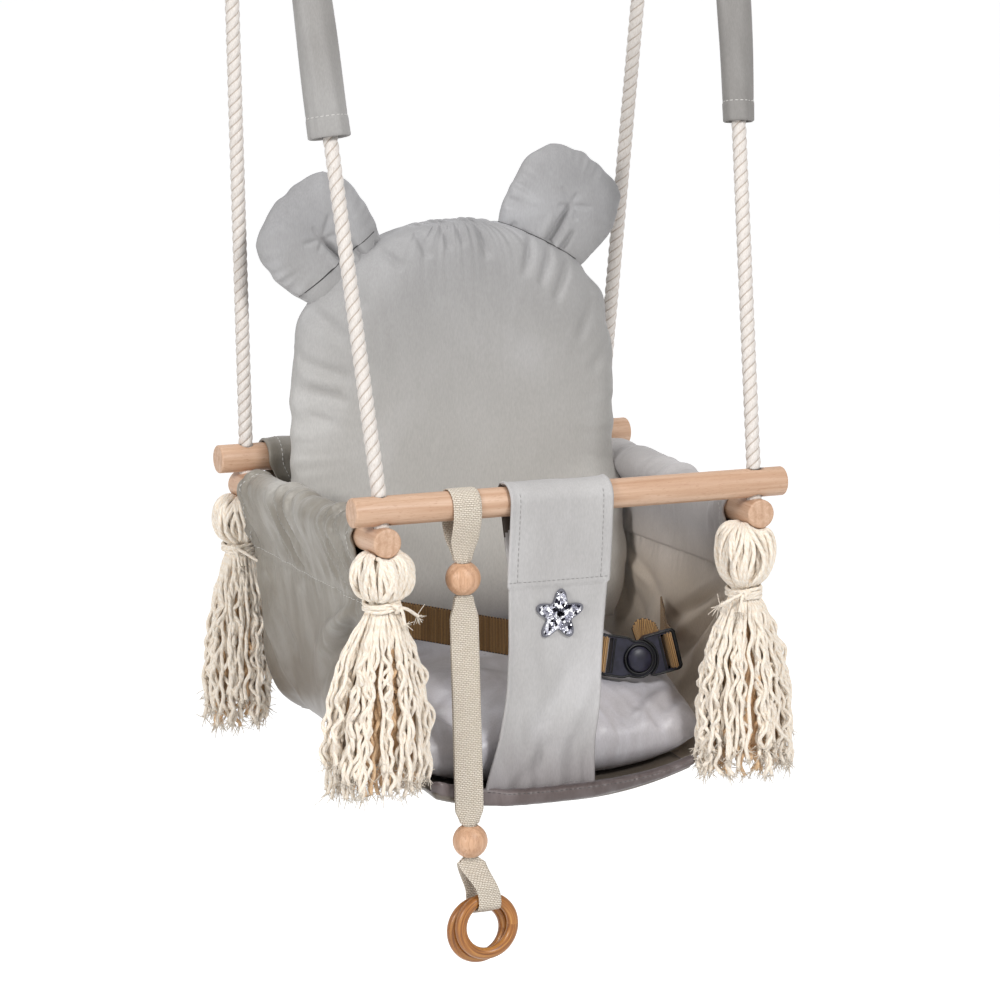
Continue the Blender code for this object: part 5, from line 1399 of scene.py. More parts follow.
def frayed(shape, ends, ways, rng, fibres=8, length=0.0062, radius=0.00052):
    """Loose curling fibres at the end of each yarn."""
    rows = []
    for end, way in zip(ends, ways):
        for _ in range(fibres):
            spread = way + rng.normal(scale=0.42, size=3)
            reach = length * rng.uniform(0.45, 1.25)
            curl = rng.normal(scale=0.0030, size=3)
            t = np.linspace(0, 1, 6)[:, None]
            rows.append(end - way * 0.0015 + unit(spread) * reach * t + curl * t**2)
    rows = np.array(rows)
    taper = np.linspace(1.0, 0.55, 6) * radius
    sweep(shape, rows, taper[None], 4)


def make_skirt(corner, rng):
    """Wavy yarns spread evenly over the skirt's width, frayed at their ends, round a core. The inner yarns
    and the core take a darker tan copy of the cotton: painted shade between the yarns.
    """
    _, end = CORNERS[corner]
    x, y = tassel_centre(corner)
    kind = corner[0]
    top = neck_height(corner) - TIE_HALF_HEIGHT + 0.001
    foot = top - 0.001 - GAP - SKIRT_LENGTH[corner]
    count = STRANDS[kind]
    t = np.linspace(0, 1, 55)
    spread = 1 - (1 - t) ** SKIRT_SWELL
    start_r = (NECK_R - STRAND_R) * 0.9
    wide = SKIRT_FOOT_R[kind] - 0.0015
    paths, inner = [], []
    for k in range(count):
        ring_share = math.sqrt((k + 0.5) / count)
        share = 0.34 + 0.66 * ring_share
        angle = k * GOLDEN_TURN + rng.uniform(-0.25, 0.25)
        deep = SKIRT_DEPTH_OUT if math.sin(angle) * end > 0 else SKIRT_DEPTH_IN
        r_x = mix(start_r, wide * rng.uniform(0.88, 1.08), spread) * share
        r_y = mix(start_r, min(deep, wide) - 0.002, spread) * share
        turn = angle + rng.uniform(-0.30, 0.30) * t
        reach = (top - foot) * (1.03 - rng.uniform(0, 0.20) - 0.05 * share)
        z = top - reach * t
        pitch = rng.uniform(0.016, 0.034)
        swing = mix(0.0003, rng.uniform(0.0010, 0.0030), smoothstep(0, 0.40, t))
        swing = swing * (1 + 0.5 * np.sin(7 * t + k))
        phase, tilt = rng.uniform(0, 2 * PI), rng.uniform(0, 2 * PI)
        wave = swing * np.sin(2 * PI * reach * t / pitch + phase + 2.2 * np.sin(5 * t + tilt))
        other = 0.8 * swing * np.sin(2 * PI * reach * t / (pitch * 1.37) + tilt)
        px = x + r_x * np.cos(turn) + wave * math.cos(tilt) - other * math.sin(tilt)
        py = y + r_y * np.sin(turn) + wave * math.sin(tilt) + other * math.cos(tilt)
        px = px + SKIRT_LEAN[corner] * t**1.5
        paths.append(np.stack([px, py, z], -1))
        inner.append(share < 0.70)
    paths, inner = np.array(paths), np.array(inner)
    shape = Shape()
    sweep(shape, paths[~inner], STRAND_R, 6)
    # The inner yarns take the darker tan cotton: painted shade between the yarns.
    sweep(shape, paths[inner], STRAND_R, 6, slot=1)
    frayed(shape, paths[:, -1], unit(paths[:, -1] - paths[:, -3]), rng)
    core_t = np.linspace(0, CORE_END, 30)[:, None]
    around = full_turn(96)[None]
    spread = 1 - (1 - core_t) ** SKIRT_SWELL
    thick = 1 + 0.09 * np.cos(24 * around + 3 * np.sin(6 * core_t))
    thick = CORE_RATIO * (thick + 0.05 * np.cos(11 * around - 9 * core_t))
    deep = np.where(np.sin(around) * end > 0, SKIRT_DEPTH_OUT, SKIRT_DEPTH_IN) - 0.004
    core_x = mix(start_r, wide, spread) * thick
    core_y = mix(start_r, np.minimum(deep, SKIRT_FOOT_R[kind] - 0.004), spread) * thick
    close = smoothstep(CORE_END, CORE_END - 0.06, core_t)
    core_x, core_y = core_x * mix(0.02, 1.0, close), core_y * mix(0.02, 1.0, close)
    grid = [x + core_x * np.cos(around) + SKIRT_LEAN[corner] * core_t**1.5, y + core_y * np.sin(around)]
    grid = np.stack([*grid, top - (top - foot) * core_t + 0 * around], -1)
    places = np.stack(np.broadcast_arrays(around / 2 / PI * 24, (top - foot) * core_t), -1)
    # The core takes the darker tan cotton too: painted shade.
    skin(shape, grid[:, :-1], places, 1, around=True)
    made = shape.build(f"yarn_skirt_{corner}", [TASSEL, CORE_PAINTED_SHADE])
    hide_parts(f"tassel_skirt_{corner}")
    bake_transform(made)


def make_tie(corner, rng):
    """Turns of yarn round the neck, with a knot and two loose ends."""
    side, _ = CORNERS[corner]
    x, y = tassel_centre(corner)
    cord = TIE_CORD_R
    facing = math.radians(TIE_FACING[corner])
    t = np.linspace(0, 1, 160)
    angle = facing + 2 * PI * TIE_TURNS * t
    r = NECK_R + cord + 0.0002 + 0.0003 * np.sin(5 * angle)
    z = neck_height(corner) + mix(-1, 1, t) * 0.0042
    z = z + 0.0009 * np.sin(angle + 1) + 0.0006 * np.sin(2.6 * angle)
    shape = Shape()
    sweep(shape, np.stack([x + r * np.cos(angle), y + r * np.sin(angle), z], -1), cord, 8)
    out = np.array([math.cos(facing), math.sin(facing), 0])
    across = np.array([-math.sin(facing), math.cos(facing), 0])
    hub = np.array([x, y, neck_height(corner)]) + out * (NECK_R + 0.0040)
    a = np.linspace(0, 2 * PI, 60)
    knot = hub + np.outer(0.0034 * np.sin(a) + 0.0016 * np.sin(2 * a), across)
    knot = knot + np.outer(0.0016 * np.cos(3 * a), out)
    knot = knot + np.outer(0.0030 * np.cos(a) - 0.0014 * np.cos(2 * a), [0, 0, 1])
    sweep(shape, knot, cord, 8)
    ends, ways = [], []
    for lean, reach, drop in ((1.0, 0.021, 0.010), (0.25, 0.014, 0.015)):
        swing = across * lean * (1 if side == LEFT else -1)
        knots = [hub, hub + out * 0.004 + swing * reach * 0.35 - np.array([0, 0, drop * 0.2])]
        knots.append(hub + out * 0.005 + swing * reach - np.array([0, 0, drop]))
        line = smooth_path(knots, 14)
        sweep(shape, line, cord * 0.95, 8)
        ends.append(line[-1])
        ways.append(unit(line[-1] - line[-3]))
    frayed(shape, ends, ways, rng, fibres=14, length=0.0085)
    made = shape.build(f"yarn_tie_{corner}", TASSEL)
    finished(made, "seat", "tassel_cotton", f"tassel_tie_{corner}")


for number, corner in enumerate(CORNERS):
    draw = np.random.default_rng(40 + number)
    make_head(corner, draw)
    make_skirt(corner, draw)
    make_tie(corner, draw)


# Sling


def base_height(y):
    return mix(BASE_FRONT_Z, BASE_REAR_Z, (y - BASE_FRONT_Y) / (BASE_REAR_Y - BASE_FRONT_Y))


def base_surface(x, y):
    return base_height(y) + BASE_EDGE_RISE * (np.abs(x) / BASE_HALF_WIDTH) ** 3


def sewn_row(heights, rows, seam_z):
    """The outer row of a hung cloth that lies just above its seam."""
    return int(np.argmin(np.abs(heights[rows // 3 :] - seam_z - 0.0012))) + rows // 3


def cloth_sleeve(centre, height, drop, arc_steps=28):
    """Cloth from its inner hem up, over a dowel and down to its seam, as (sideways, height) pairs."""
    radius = SLEEVE_INNER_R + CLOTH / 2 + GAP
    lap = (CLOTH + SOFT_GAP) / 2
    angles = [PI * i / arc_steps for i in range(arc_steps + 1)]
    arc = [(centre - radius * math.cos(a), height + radius * math.sin(a)) for a in angles]
    flare = [(share, radius * (1 - share) ** 1.3 + lap) for share in (0.75, 0.45, 0.2)]
    rise = [(centre - lap, height - drop)]
    rise += [(centre - min(wide, radius), height - drop * share) for share, wide in flare]
    fall = [(2 * centre - x, z) for x, z in reversed(rise)]
    return rise + arc + fall


def side_profile(y):
    seam_z = SIDE_DOWEL_Z - PANEL_SEAM_DROP
    end_z = base_height(y) + BASE_EDGE_RISE
    depth = end_z - seam_z
    below = [(HALF_X - inset, seam_z + depth * share) for inset, share in PANEL_CURVE]
    edge = BASE_HALF_WIDTH + SOFT_GAP + CLOTH * 0.5
    return below + [(edge, end_z + CLOTH * 0.5)]


def make_side_panel(label, side):
    """A side of the sling: folds fan out from its upper corners, and the sleeve over the dowel is pleated."""
    columns, rows = 130, 150
    grid = np.empty((rows + 1, columns + 1, 3))
    for j in range(columns + 1):
        y = mix(PANEL_FRONT_Y, PANEL_REAR_Y, j / columns)
        line = cloth_sleeve(HALF_X, SIDE_DOWEL_Z, PANEL_SEAM_DROP) + side_profile(y)
        spots = smooth_path(line, rows, 4)
        grid[:, j] = np.stack([side * spots[:, 0], np.full(rows + 1, y), spots[:, 1]], 1)
    x, y, z = grid[..., 0], grid[..., 1], grid[..., 2]
    seam_z = SIDE_DOWEL_Z - PANEL_SEAM_DROP
    hanging = smoothstep(seam_z - 0.014, seam_z - 0.070, z) * smoothstep(-0.245, -0.200, z)
    outer = (np.arange(rows + 1) > rows * 0.2)[:, None]
    dz = z - seam_z
    wave = np.sin(48 * (y + 0.35 * z) + 1.3 * side) + 0.6 * np.sin(95 * (y + 0.2 * z))
    push = 0.0026 * wave * hanging * outer
    front, rear = PANEL_FRONT_Y, PANEL_REAR_Y
    rng = np.random.default_rng(210 + side)
    low = smoothstep(-0.250, -0.225, z) * outer
    for corner_y, way, count in ((front, 1, FRONT_CORNER_FOLDS), (rear, -1, REAR_CORNER_FOLDS)):
        for _ in range(count):
            lean = math.radians(rng.uniform(22, 84))
            near, far = rng.uniform(0.004, 0.030), rng.uniform(0.060, 0.150)
            start = (corner_y + way * near * math.cos(lean), seam_z - near * math.sin(lean))
            stop = (corner_y + way * far * math.cos(lean), seam_z - far * math.sin(lean))
            depth = rng.uniform(0.0022, 0.0048) * rng.choice([1, 1, -1])
            push = push + fold(y, z, start, stop, rng.uniform(0.0036, 0.0080), depth) * low
    for lean, far, wide, depth in PANEL_FOLDS:
        lean = math.radians(lean)
        start = (front + 0.004, seam_z - 0.004)
        stop = (start[0] + far * math.cos(lean), start[1] - far * math.sin(lean))
        push = push + fold(y, z, start, stop, wide, depth, 0.8) * low
    push = push + gathers(y, seam_z - z, 0.012, 0.012, 0.0009, 11 + side) * outer * (z < seam_z)
    push = push + 0.0010 * rumple(x, 1.3 * y, z, 0.05, 12 + side) * low
    over = smoothstep(seam_z, seam_z + 0.012, z) * (0.55 + 0.45 * np.sin(2 * PI * (y - front) / 0.11 + side))
    ends = np.exp(-((y - front) / 0.030) ** 2) + np.exp(-((rear - y) / 0.030) ** 2)
    pleat = gathers(y + 0.45 * side * dz, 0 * y, 0.0085, 1.0, 0.00150, 21 + side) * (0.55 + 1.2 * ends)
    pleat = pleat + gathers(y + 0.8 * side * dz, 0 * y, 0.020, 1.0, 0.0021, 25 + side)
    loose = 1.0 if side == LEFT else 0.35
    push = push + loose * (pleat + 0.0012 * np.abs(rumple(x, y, z, 0.030, 31 + side))) * over
    crest = smoothstep(SIDE_DOWEL_Z - 0.004, SIDE_DOWEL_Z + 0.010, z)
    if side == RIGHT:
        push = push + PUFF * crest * smoothstep(-0.070, 0.060, y)
    tuck = 0.0005 * np.exp(-((dz / 0.0014) ** 2)) * outer
    normal = normals(grid, (rows // 2, columns // 2), 0, side)
    grid = grid + normal * (push - tuck)[..., None]
    # The inside of the right panel takes the lighter copy of the sling velour: painted light.
    made = cloth(f"{label}_side_cloth", grid, CLOTH, SLING if side == LEFT else INNER_SLING_PAINTED_LIGHT)
    finished(made, "seat", "velour", f"{label}_panel")
    level = sewn_row(z[:, columns // 2], rows, seam_z)
    proud = grid + normal * (CLOTH / 2 + THREAD_LIFT)
    lines = [proud[level]] + [proud[rows // 12 : level, j] for j in (4, columns - 4)]
    finished(stitches(f"{label}_side_stitches", lines, PALE_THREAD), "seat", "velour")


def make_back_panel():
    """The rear of the sling, from round the rear dowel down to the base, narrower below the dowel."""
    seam_z = -PANEL_SEAM_DROP
    foot_y = BASE_REAR_Y + SOFT_GAP + CLOTH / 2
    foot_z = base_height(BASE_REAR_Y) - BASE_THICKNESS / 2
    line = cloth_sleeve(HALF_Y, 0, PANEL_SEAM_DROP)
    start = line[-1]
    line += [(mix(start[0], foot_y, i / 8), mix(start[1], foot_z, i / 8)) for i in range(1, 9)]
    rows, columns = 130, 110
    spots = smooth_path(line, rows, 4)
    u = np.linspace(-1, 1, columns + 1)[None]
    y, z = spots[:, :1], spots[:, 1:]
    half = mix(BACK_PANEL_HALF_WIDTH, BACK_PANEL_WAIST, smoothstep(0, -0.026, z))
    half = mix(half, BASE_HALF_WIDTH + 0.010, smoothstep(seam_z, foot_z, z))
    lift = BASE_EDGE_RISE * np.abs(u) ** 3 * smoothstep(seam_z, foot_z, z)
    wave = 0.0013 * np.sin(5 * u + 20 * z) * smoothstep(seam_z, -0.12, z)
    wave = wave * smoothstep(foot_z, foot_z + 0.05, z)
    x = u * half
    puffs = 0.0007 * np.abs(rumple(x, y, z, 0.03, 5)) * smoothstep(seam_z, seam_z + 0.012, z)
    fine = gathers(x, np.abs(z - seam_z), 0.013, 0.010, 0.0005, 17)
    grid = np.stack([x, y + wave + fine, z + lift], -1)
    normal = normals(grid, (rows // 2, columns // 2), 1, 1)
    grid = grid + normal * puffs[..., None]
    made = cloth("back_cloth", grid, CLOTH, SLING)
    finished(made, "seat", "velour", "back_panel")
    level = sewn_row(spots[:, 1], rows, seam_z)
    proud = grid + normal * (CLOTH / 2 + THREAD_LIFT)
    lines = [proud[level]] + [proud[rows // 10 : level, j] for j in (4, columns - 4)]
    finished(stitches("back_stitches", lines, PALE_THREAD), "seat", "velour")


def base_thickness(x, y):
    """The padded base is thinner towards its front right corner."""
    thin = smoothstep(0.1, 1.0, x / BASE_HALF_WIDTH) * smoothstep(BASE_FRONT_Y + 0.060, BASE_FRONT_Y, y)
    return BASE_THICKNESS * (1 - BASE_CORNER_THINNING * thin)


def base_under(x, y):
    return base_surface(x, y) + BASE_THICKNESS / 2 - base_thickness(x, y) - THREAD_LIFT


def make_base():
    rows, columns = 90, 90
    y = np.linspace(BASE_FRONT_Y, BASE_REAR_Y, rows + 1)[:, None]
    x = np.linspace(-BASE_HALF_WIDTH, BASE_HALF_WIDTH, columns + 1)[None]
    thickness = base_thickness(x, y)
    z = base_surface(x, y) + (BASE_THICKNESS - thickness) / 2
    grid = np.stack([x + 0 * y, y + 0 * x, z], -1)
    made = cloth("seat_base", grid, thickness, SLING)
    finished(made, "seat", "velour", "seat_bottom")
    edge = BASE_HALF_WIDTH - BASE_STITCH_INSET
    front, rear = BASE_FRONT_Y + BASE_STITCH_INSET, BASE_REAR_Y - BASE_STITCH_INSET
    ways = [[(x, y) for y in np.linspace(front, rear, 60)] for x in (-edge, edge)]
    ways += [[(x, y) for x in np.linspace(-edge, edge, 60)] for y in (front, rear)]
    lines = [[(x, y, base_under(x, y)) for x, y in way] for way in ways]
    finished(stitches("seat_base_stitches", lines, THREAD), "seat", "velour")


def make_lip():
    """The bound front edge over the crotch panel's foot, slimmer at its ends and behind the strap."""
    columns = 160
    half = BASE_HALF_WIDTH + 0.004
    u = np.linspace(-1, 1, columns + 1)
    x = half * u
    sewn = np.exp(-(((x - CROTCH_FOOT_X) / LIP_SEWN_HALF) ** 6))
    spots = smooth_path(LIP_SECTION, 26)
    depth, height = spots[:, :1], spots[:, 1:]
    tall = np.interp(u, *LIP_TALL)[None]
    end = smoothstep(0.955, 1.0, np.abs(u))[None]
    behind_strap = np.exp(-(((x - strap_x(LIP_LEVEL)) / LIP_STRAP_HALF) ** 6))[None] * (depth < 0)
    out = depth * (1 - 0.55 * end) * (1 - LIP_STRAP_SLIMMING * behind_strap) + 0.004 * end
    high = LIP_CREST - (LIP_CREST - height) * tall * (1 - 0.30 * end) - 0.002 * end
    y = BASE_FRONT_Y + out - 0.0018 * sewn * (depth < -0.002)
    z = base_surface(x, BASE_FRONT_Y)[None] + high
    share = np.linspace(0, 1, 27)[:, None]
    away = np.abs(share - 0.35) * 0.03
    lift = gathers(x[None], away, 0.020, 0.05, 0.0008, 141)
    lift = lift + gathers(x[None], away, 0.007, 0.02, 0.0003, 142)
    grid = np.stack([x[None] + 0 * y, y - lift * (1 - 0.6 * sewn), z + 0.4 * lift], -1)
    # The lip takes the much darker copy of the sling velour: painted shade.
    made = cloth("seat_lip", grid, CLOTH * 0.8, SHADED_LIP_VELOUR)
    finished(made, "seat", "velour")
    line = grid[7] - np.array([0, CLOTH * 0.42, 0])
    line = line[x > strap_x(LIP_LEVEL) + STRAP_WIDTH * 0.75]
    finished(stitches("seat_lip_stitches", [line], DARK_THREAD_AND_CREASE_SHADE, radius=0.00028), "seat", "velour")


def make_crotch():
    """The panel over the front dowel and down to the base. Returns its grid and upright directions."""
    front = -HALF_Y
    radius = SLEEVE_INNER_R + CLOTH / 2 + GAP
    lap = CLOTH + SOFT_GAP
    seam_z = -CROTCH_SEAM_DROP
    foot_y = BASE_FRONT_Y - SOFT_GAP - CLOTH
    foot_z = base_height(BASE_FRONT_Y) + BASE_THICKNESS * 0.2
    seam_y = mix(front - radius, foot_y, seam_z / foot_z)
    arc = [(front + radius * math.cos(PI * i / 28), radius * math.sin(PI * i / 28)) for i in range(29)]
    rise = [(mix(seam_y + lap, arc[0][0], t), mix(seam_z, arc[0][1], t)) for t in (0.0, 0.35, 0.7)]
    fall = [(mix(front - radius, foot_y, i / 14), foot_z * i / 14) for i in range(1, 15)]
    rows, columns = 200, 70
    spots = smooth_path(rise + arc + fall, rows, 6)
    y, z = spots[:, :1], spots[:, 1:]
    u = np.linspace(-1, 1, columns + 1)[None]
    outer = (np.arange(rows + 1) > rows * 0.28)[:, None]
    centre = mix(CROTCH_X, CROTCH_FOOT_X, smoothstep(CROTCH_LEAN_Z, foot_z, z))
    width = mix(CROTCH_WIDTH, CROTCH_WAIST_WIDTH, smoothstep(-0.06, -0.13, z))
    width = mix(width, CROTCH_FOOT_WIDTH, smoothstep(-0.20, foot_z, z))
    slimmer = smoothstep(seam_z + 0.0005, seam_z - 0.0015, z) * smoothstep(-0.20, -0.15, z)
    width = width - 0.0034 * slimmer * outer
    hidden = smoothstep(0.25, 0.18, np.arange(rows + 1) / rows)[:, None]
    x = centre + u * width / 2 * (1 - 0.09 * hidden)
    below = smoothstep(seam_z, seam_z - 0.002, z) * outer
    push = -0.0011 * below
    foot_away = z - foot_z
    sewn = outer * smoothstep(0.06, 0.0, foot_away)
    push = push + gathers(x, foot_away, 0.016, 0.020, 0.0011, 61) * sewn
    push = folded(push, x, z, CROTCH_FOLDS, outer)
    push = push + 0.0005 * rumple(x, y, z, 0.06, 66)
    roll = 0.0008 * np.exp(-(((1 - np.abs(u)) * width / 2 / 0.0022) ** 2))
    grid = np.stack([x, y + 0 * x, z + 0 * x], -1)
    normal = normals(grid, (int(rows * 0.7), columns // 2), 1, -1)
    grid = grid + normal * (push + roll)[..., None]
    made = cloth("crotch_cloth", grid, CLOTH, [PALE, PALE_PAINTED_SHADE])
    # The inner layer of the loop over the dowel takes the near-black copy: painted shade.
    for face in made.data.polygons:
        if face.center.y > front + radius * 0.4 and face.center.z > seam_z - 0.004:
            face.material_index = 1
    finished(made, "seat", "velour_pale", "crotch_panel")
    proud = grid + normal * (CLOTH / 2 + THREAD_LIFT)
    hem_row = int(np.argmin(np.abs(z[rows // 2 :, 0] - seam_z))) + rows // 2
    edges = [int(round((share + 1) / 2 * columns)) for share in (-0.82, 0.82)]
    lines = [proud[int(rows * 0.30) : hem_row, j] for j in edges]
    lines += [proud[hem_row - 2], proud[rows - 6]]
    finished(stitches("crotch_stitches", lines, THREAD, radius=0.0003), "seat", "velour_pale")
    return grid, normal


make_side_panel("left", LEFT)
make_side_panel("right", RIGHT)
make_back_panel()
make_base()
make_lip()
crotch_grid, crotch_normal = make_crotch()


def make_star():
    """A padded star of crumpled foil with a dark felt rim."""
    row = int(np.argmin(np.abs(crotch_grid[100:, 35, 2] - STAR_Z))) + 100
    normal = unit(crotch_normal[row, 35])
    up = unit(crotch_grid[row - 3, 35] - crotch_grid[row + 3, 35])
    across = np.cross(up, -normal)
    across = across * np.sign(across[0])
    hub = crotch_grid[row, 35] + normal * (CLOTH / 2 + GAP)
    hub[0] = STAR_X
    rng = np.random.default_rng(3)
    points = 120
    angle = full_turn(points)
    outline = STAR_R * (0.56 + 0.44 * (0.5 + 0.5 * np.cos(5 * angle)) ** 1.15)
    turn = STAR_TURN + angle
    shape = Shape()
    levels = [(1.0, 0.0), (1.02, 0.35), (1.0, 0.70), (0.965, 0.86), (0.93, 0.80), (0.91, 0.68)]
    rows = []
    for scale, lift in levels:
        spot = np.outer(outline * scale * np.cos(turn), across) + np.outer(outline * scale * np.sin(turn), up)
        rows.append(hub + spot + normal * STAR_THICKNESS * lift)
    rim = np.array(rows)
    places = np.stack(np.meshgrid(angle, np.arange(len(levels)) * 0.001), -1)
    skin(shape, rim[:, :-1], places, 1, around=True)
    steps = 26
    rows = []
    for i in range(steps + 1):
        scale = mix(0.92, 0.0, i / steps)
        crumple = rng.uniform(-1, 1, points) * 0.00045 if i else np.zeros(points)
        lift = 0.66 + 0.30 * (1 - (scale / 0.92) ** 3)
        spot = np.outer(outline[:-1] * scale * np.cos(turn[:-1]), across)
        spot = spot + np.outer(outline[:-1] * scale * np.sin(turn[:-1]), up)
        rows.append(hub + spot + normal * (STAR_THICKNESS * lift + crumple)[:, None])
    foil = np.array(rows)
    foil[-1] = foil[-1].mean(0)
    places = np.stack(np.meshgrid(angle, np.arange(steps + 1) * 0.001), -1)
    skin(shape, foil, places, 0, around=True)
    made = shape.build("sequin_star", [SEQUINS, STAR_RIM], tidy=True)
    made.data.shade_flat()
    finished(made, "seat", "star_sequins", "star_patch")


make_star()


# Cushions


def profile_of(t, power, root):
    return np.maximum(1 - np.abs(t) ** power, 0) ** root


def pillow(name, columns, rows, place, front, back, surface):
    """Two skins sewn together round their rim, from functions of u and v."""
    u = np.sin(PI * (np.arange(columns + 1) / columns - 0.5))[None] + np.zeros((rows + 1, 1))
    v = np.sin(PI * (np.arange(rows + 1) / rows - 0.5))[:, None] + np.zeros((1, columns + 1))
    spot = place(u, v)
    shape = Shape()
    places = np.stack([u, v], -1) * 0.15
    skin(shape, spot + front(u, v), places)
    skin(shape, spot + back(u, v), places, flip=True)
    made = shape.build(name, surface)
    welded(made, 0.00002, outward=True)
    made.data.shade_smooth()
    return made


def to_rear(amount):
    """Steps of the given amounts towards the rear."""
    return np.stack([0 * amount, amount, 0 * amount], -1)


def seat_spot(u, v):
    """A place in the plane of the seat cushion's seam, from u and v between -1 and 1."""
    half_y = (SEAT_CUSHION_REAR_Y - SEAT_CUSHION_FRONT_Y) / 2
    y = (SEAT_CUSHION_FRONT_Y + SEAT_CUSHION_REAR_Y) / 2 + half_y * v * np.sqrt(1 - SEAT_CORNER_RATIO * u * u)
    x = SEAT_CUSHION_HALF_WIDTH * u * np.sqrt(1 - SEAT_CORNER_RATIO * v * v)
    z = base_height(y) + BASE_THICKNESS / 2 + SEAT_CUSHION_HEIGHT * SEAT_CUSHION_SEAM_RATIO
    return np.stack([x, y, z], -1)


def seat_top(u, v):
    crown = 0.80 - SEAT_CUSHION_SEAM_RATIO + 0.09 * v + 0.11 * (1 - u * u) * (1 - v * v)
    return SEAT_CUSHION_HEIGHT * crown * profile_of(u, 8, 0.36) * profile_of(v, 4, 0.42)


def rim_place(u, v, around, deep):
    """How far round the rim a place of a cushion lies, and how far in from it."""
    return np.arctan2(v, u) * around / 2 / PI, (1 - np.maximum(np.abs(u), np.abs(v))) * deep


def make_seat_cushion():
    def rise(amount):
        return np.stack([0 * amount, 0 * amount, amount], -1)

    def top(u, v):
        along, away = rim_place(u, v, 1.0, 0.14)
        lift = gathers(along, away, 0.022, 0.018, 0.0011, 71) * smoothstep(0, 0.004, away)
        spot = seat_spot(u, v)
        lift = lift + 0.0026 * rumple(spot[..., 0], spot[..., 1], 0, 0.085, 72) * smoothstep(0, 0.02, away)
        lift = folded(lift, spot[..., 0], spot[..., 1], SEAT_FOLDS)
        off = ((spot[..., 0] - SEAT_SHOULDER[0]) / 0.030) ** 2
        off = off + ((spot[..., 1] - SEAT_SHOULDER[1]) / 0.032) ** 2
        lift = lift + SEAT_SHOULDER_RISE * np.exp(-off) * smoothstep(0, 0.02, away)
        return rise(seat_top(u, v) + lift)

    def bottom(u, v):
        spot = seat_spot(u, v)
        floor = base_surface(np.minimum(np.abs(spot[..., 0]), BASE_HALF_WIDTH), spot[..., 1])
        floor = floor + BASE_THICKNESS / 2 + GAP * 3
        side_lift = 0.020 * smoothstep(0.78, 1.0, np.abs(spot[..., 0]) / SEAT_CUSHION_HALF_WIDTH)
        deepest = floor + side_lift - spot[..., 2]
        along, away = rim_place(u, v, 1.0, 0.14)
        lift = gathers(along, away, 0.020, 0.012, 0.0008, 73) * smoothstep(0, 0.004, away)
        return rise(deepest * profile_of(u, 8, 0.42) * profile_of(v, 8, 0.42) + lift)

    made = pillow("seat_cushion_cloth", 190, 180, seat_spot, top, bottom, SATIN)
    finished(made, "seat", "velour", "seat_cushion")


def back_half_width(z):
    t = np.clip((z - BACK_CUSHION_SHOULDER_Z) / (BACK_CUSHION_TOP_Z - BACK_CUSHION_SHOULDER_Z), 0, 1)
    return BACK_CUSHION_HALF_WIDTH * np.sqrt(np.maximum(1 - t**3.5, 0.0))


def back_spot(u, v):
    """The same for the back cushion: it stands on the seat cushion and spreads low on its right."""
    half_y = (SEAT_CUSHION_REAR_Y - SEAT_CUSHION_FRONT_Y) / 2
    level = (BACK_CUSHION_Y - (SEAT_CUSHION_FRONT_Y + SEAT_CUSHION_REAR_Y) / 2) / half_y
    foot = seat_spot(np.array(0.0), np.array(level))[2] + seat_top(0.0, level) + GAP
    t = (v + 1) / 2
    eased = np.where(t < 0.6, t, mix(0.6, 1.0, np.sin(PI / 2 * np.clip((t - 0.6) / 0.4, 0, 1))))
    z = mix(foot, BACK_CUSHION_TOP_Z - BACK_CUSHION_CROWN, eased)
    half = back_half_width(z) * (1 - 0.10 * smoothstep(0.12, 0.0, t))
    crown = BACK_CUSHION_CROWN * (1 - u * u) * smoothstep(0.8, 1.0, t)
    spread = smoothstep(0.45, 1.0, u) * smoothstep(0.42, 0.30, t)
    wavy = 1 + 0.25 * np.sin(2 * PI * z / 0.052)
    x = BACK_CUSHION_X + half * u + BACK_SPREAD_X * spread * wavy
    y = BACK_CUSHION_Y - (BACK_SPREAD_Y + BACK_SPREAD_Y * smoothstep(0.22, 0.06, t)) * spread
    return np.stack([x, y + 0 * u, z + crown], -1)


def make_back_cushion():
    def rise(u, v, seed):
        spot = back_spot(u, v)
        along, away = rim_place(u, v, 1.15, 0.16)
        x, z = spot[..., 0], spot[..., 2]
        lift = gathers(along, away, 0.021, 0.018, 0.0028, seed)
        lift = lift + gathers(along, away, 0.0095, 0.008, 0.0016, seed + 3)
        lift = lift * smoothstep(0, 0.004, away) * mix(0.35, 1.0, smoothstep(0.03, 0.12, z))
        lift = lift + 0.0012 * rumple(x, 0, z, 0.14, seed + 1) * smoothstep(0, 0.03, away)
        return profile_of(u, 3.6, 0.55) * profile_of(v, 5.0, 0.55), lift

    def front(u, v):
        body, lift = rise(u, v, 81)
        spot = back_spot(u, v)
        x, z = spot[..., 0], spot[..., 2]
        lift = folded(lift, x, z, BACK_FOLDS)
        return to_rear(-(BACK_CUSHION_FRONT * body + lift))

    def back(u, v):
        body, lift = rise(u, v, 91)
        return to_rear(BACK_CUSHION_BACK * body + lift)

    def place(u, v):
        spot = back_spot(u, v)
        along, away = rim_place(u, v, 1.15, 0.16)
        bulge = gathers(along, 0 * away, 0.030, 1.0, 0.0016, 95) * np.exp(-away / 0.010)
        bulge = bulge * mix(0.4, 1.0, smoothstep(0.03, 0.12, spot[..., 2]))
        spot[..., 0] += u * bulge
        spot[..., 2] += v * bulge
        return spot

    made = pillow("back_cushion_cloth", 210, 220, place, front, back, LINEN)
    finished(made, "seat", "velour", "back_cushion")


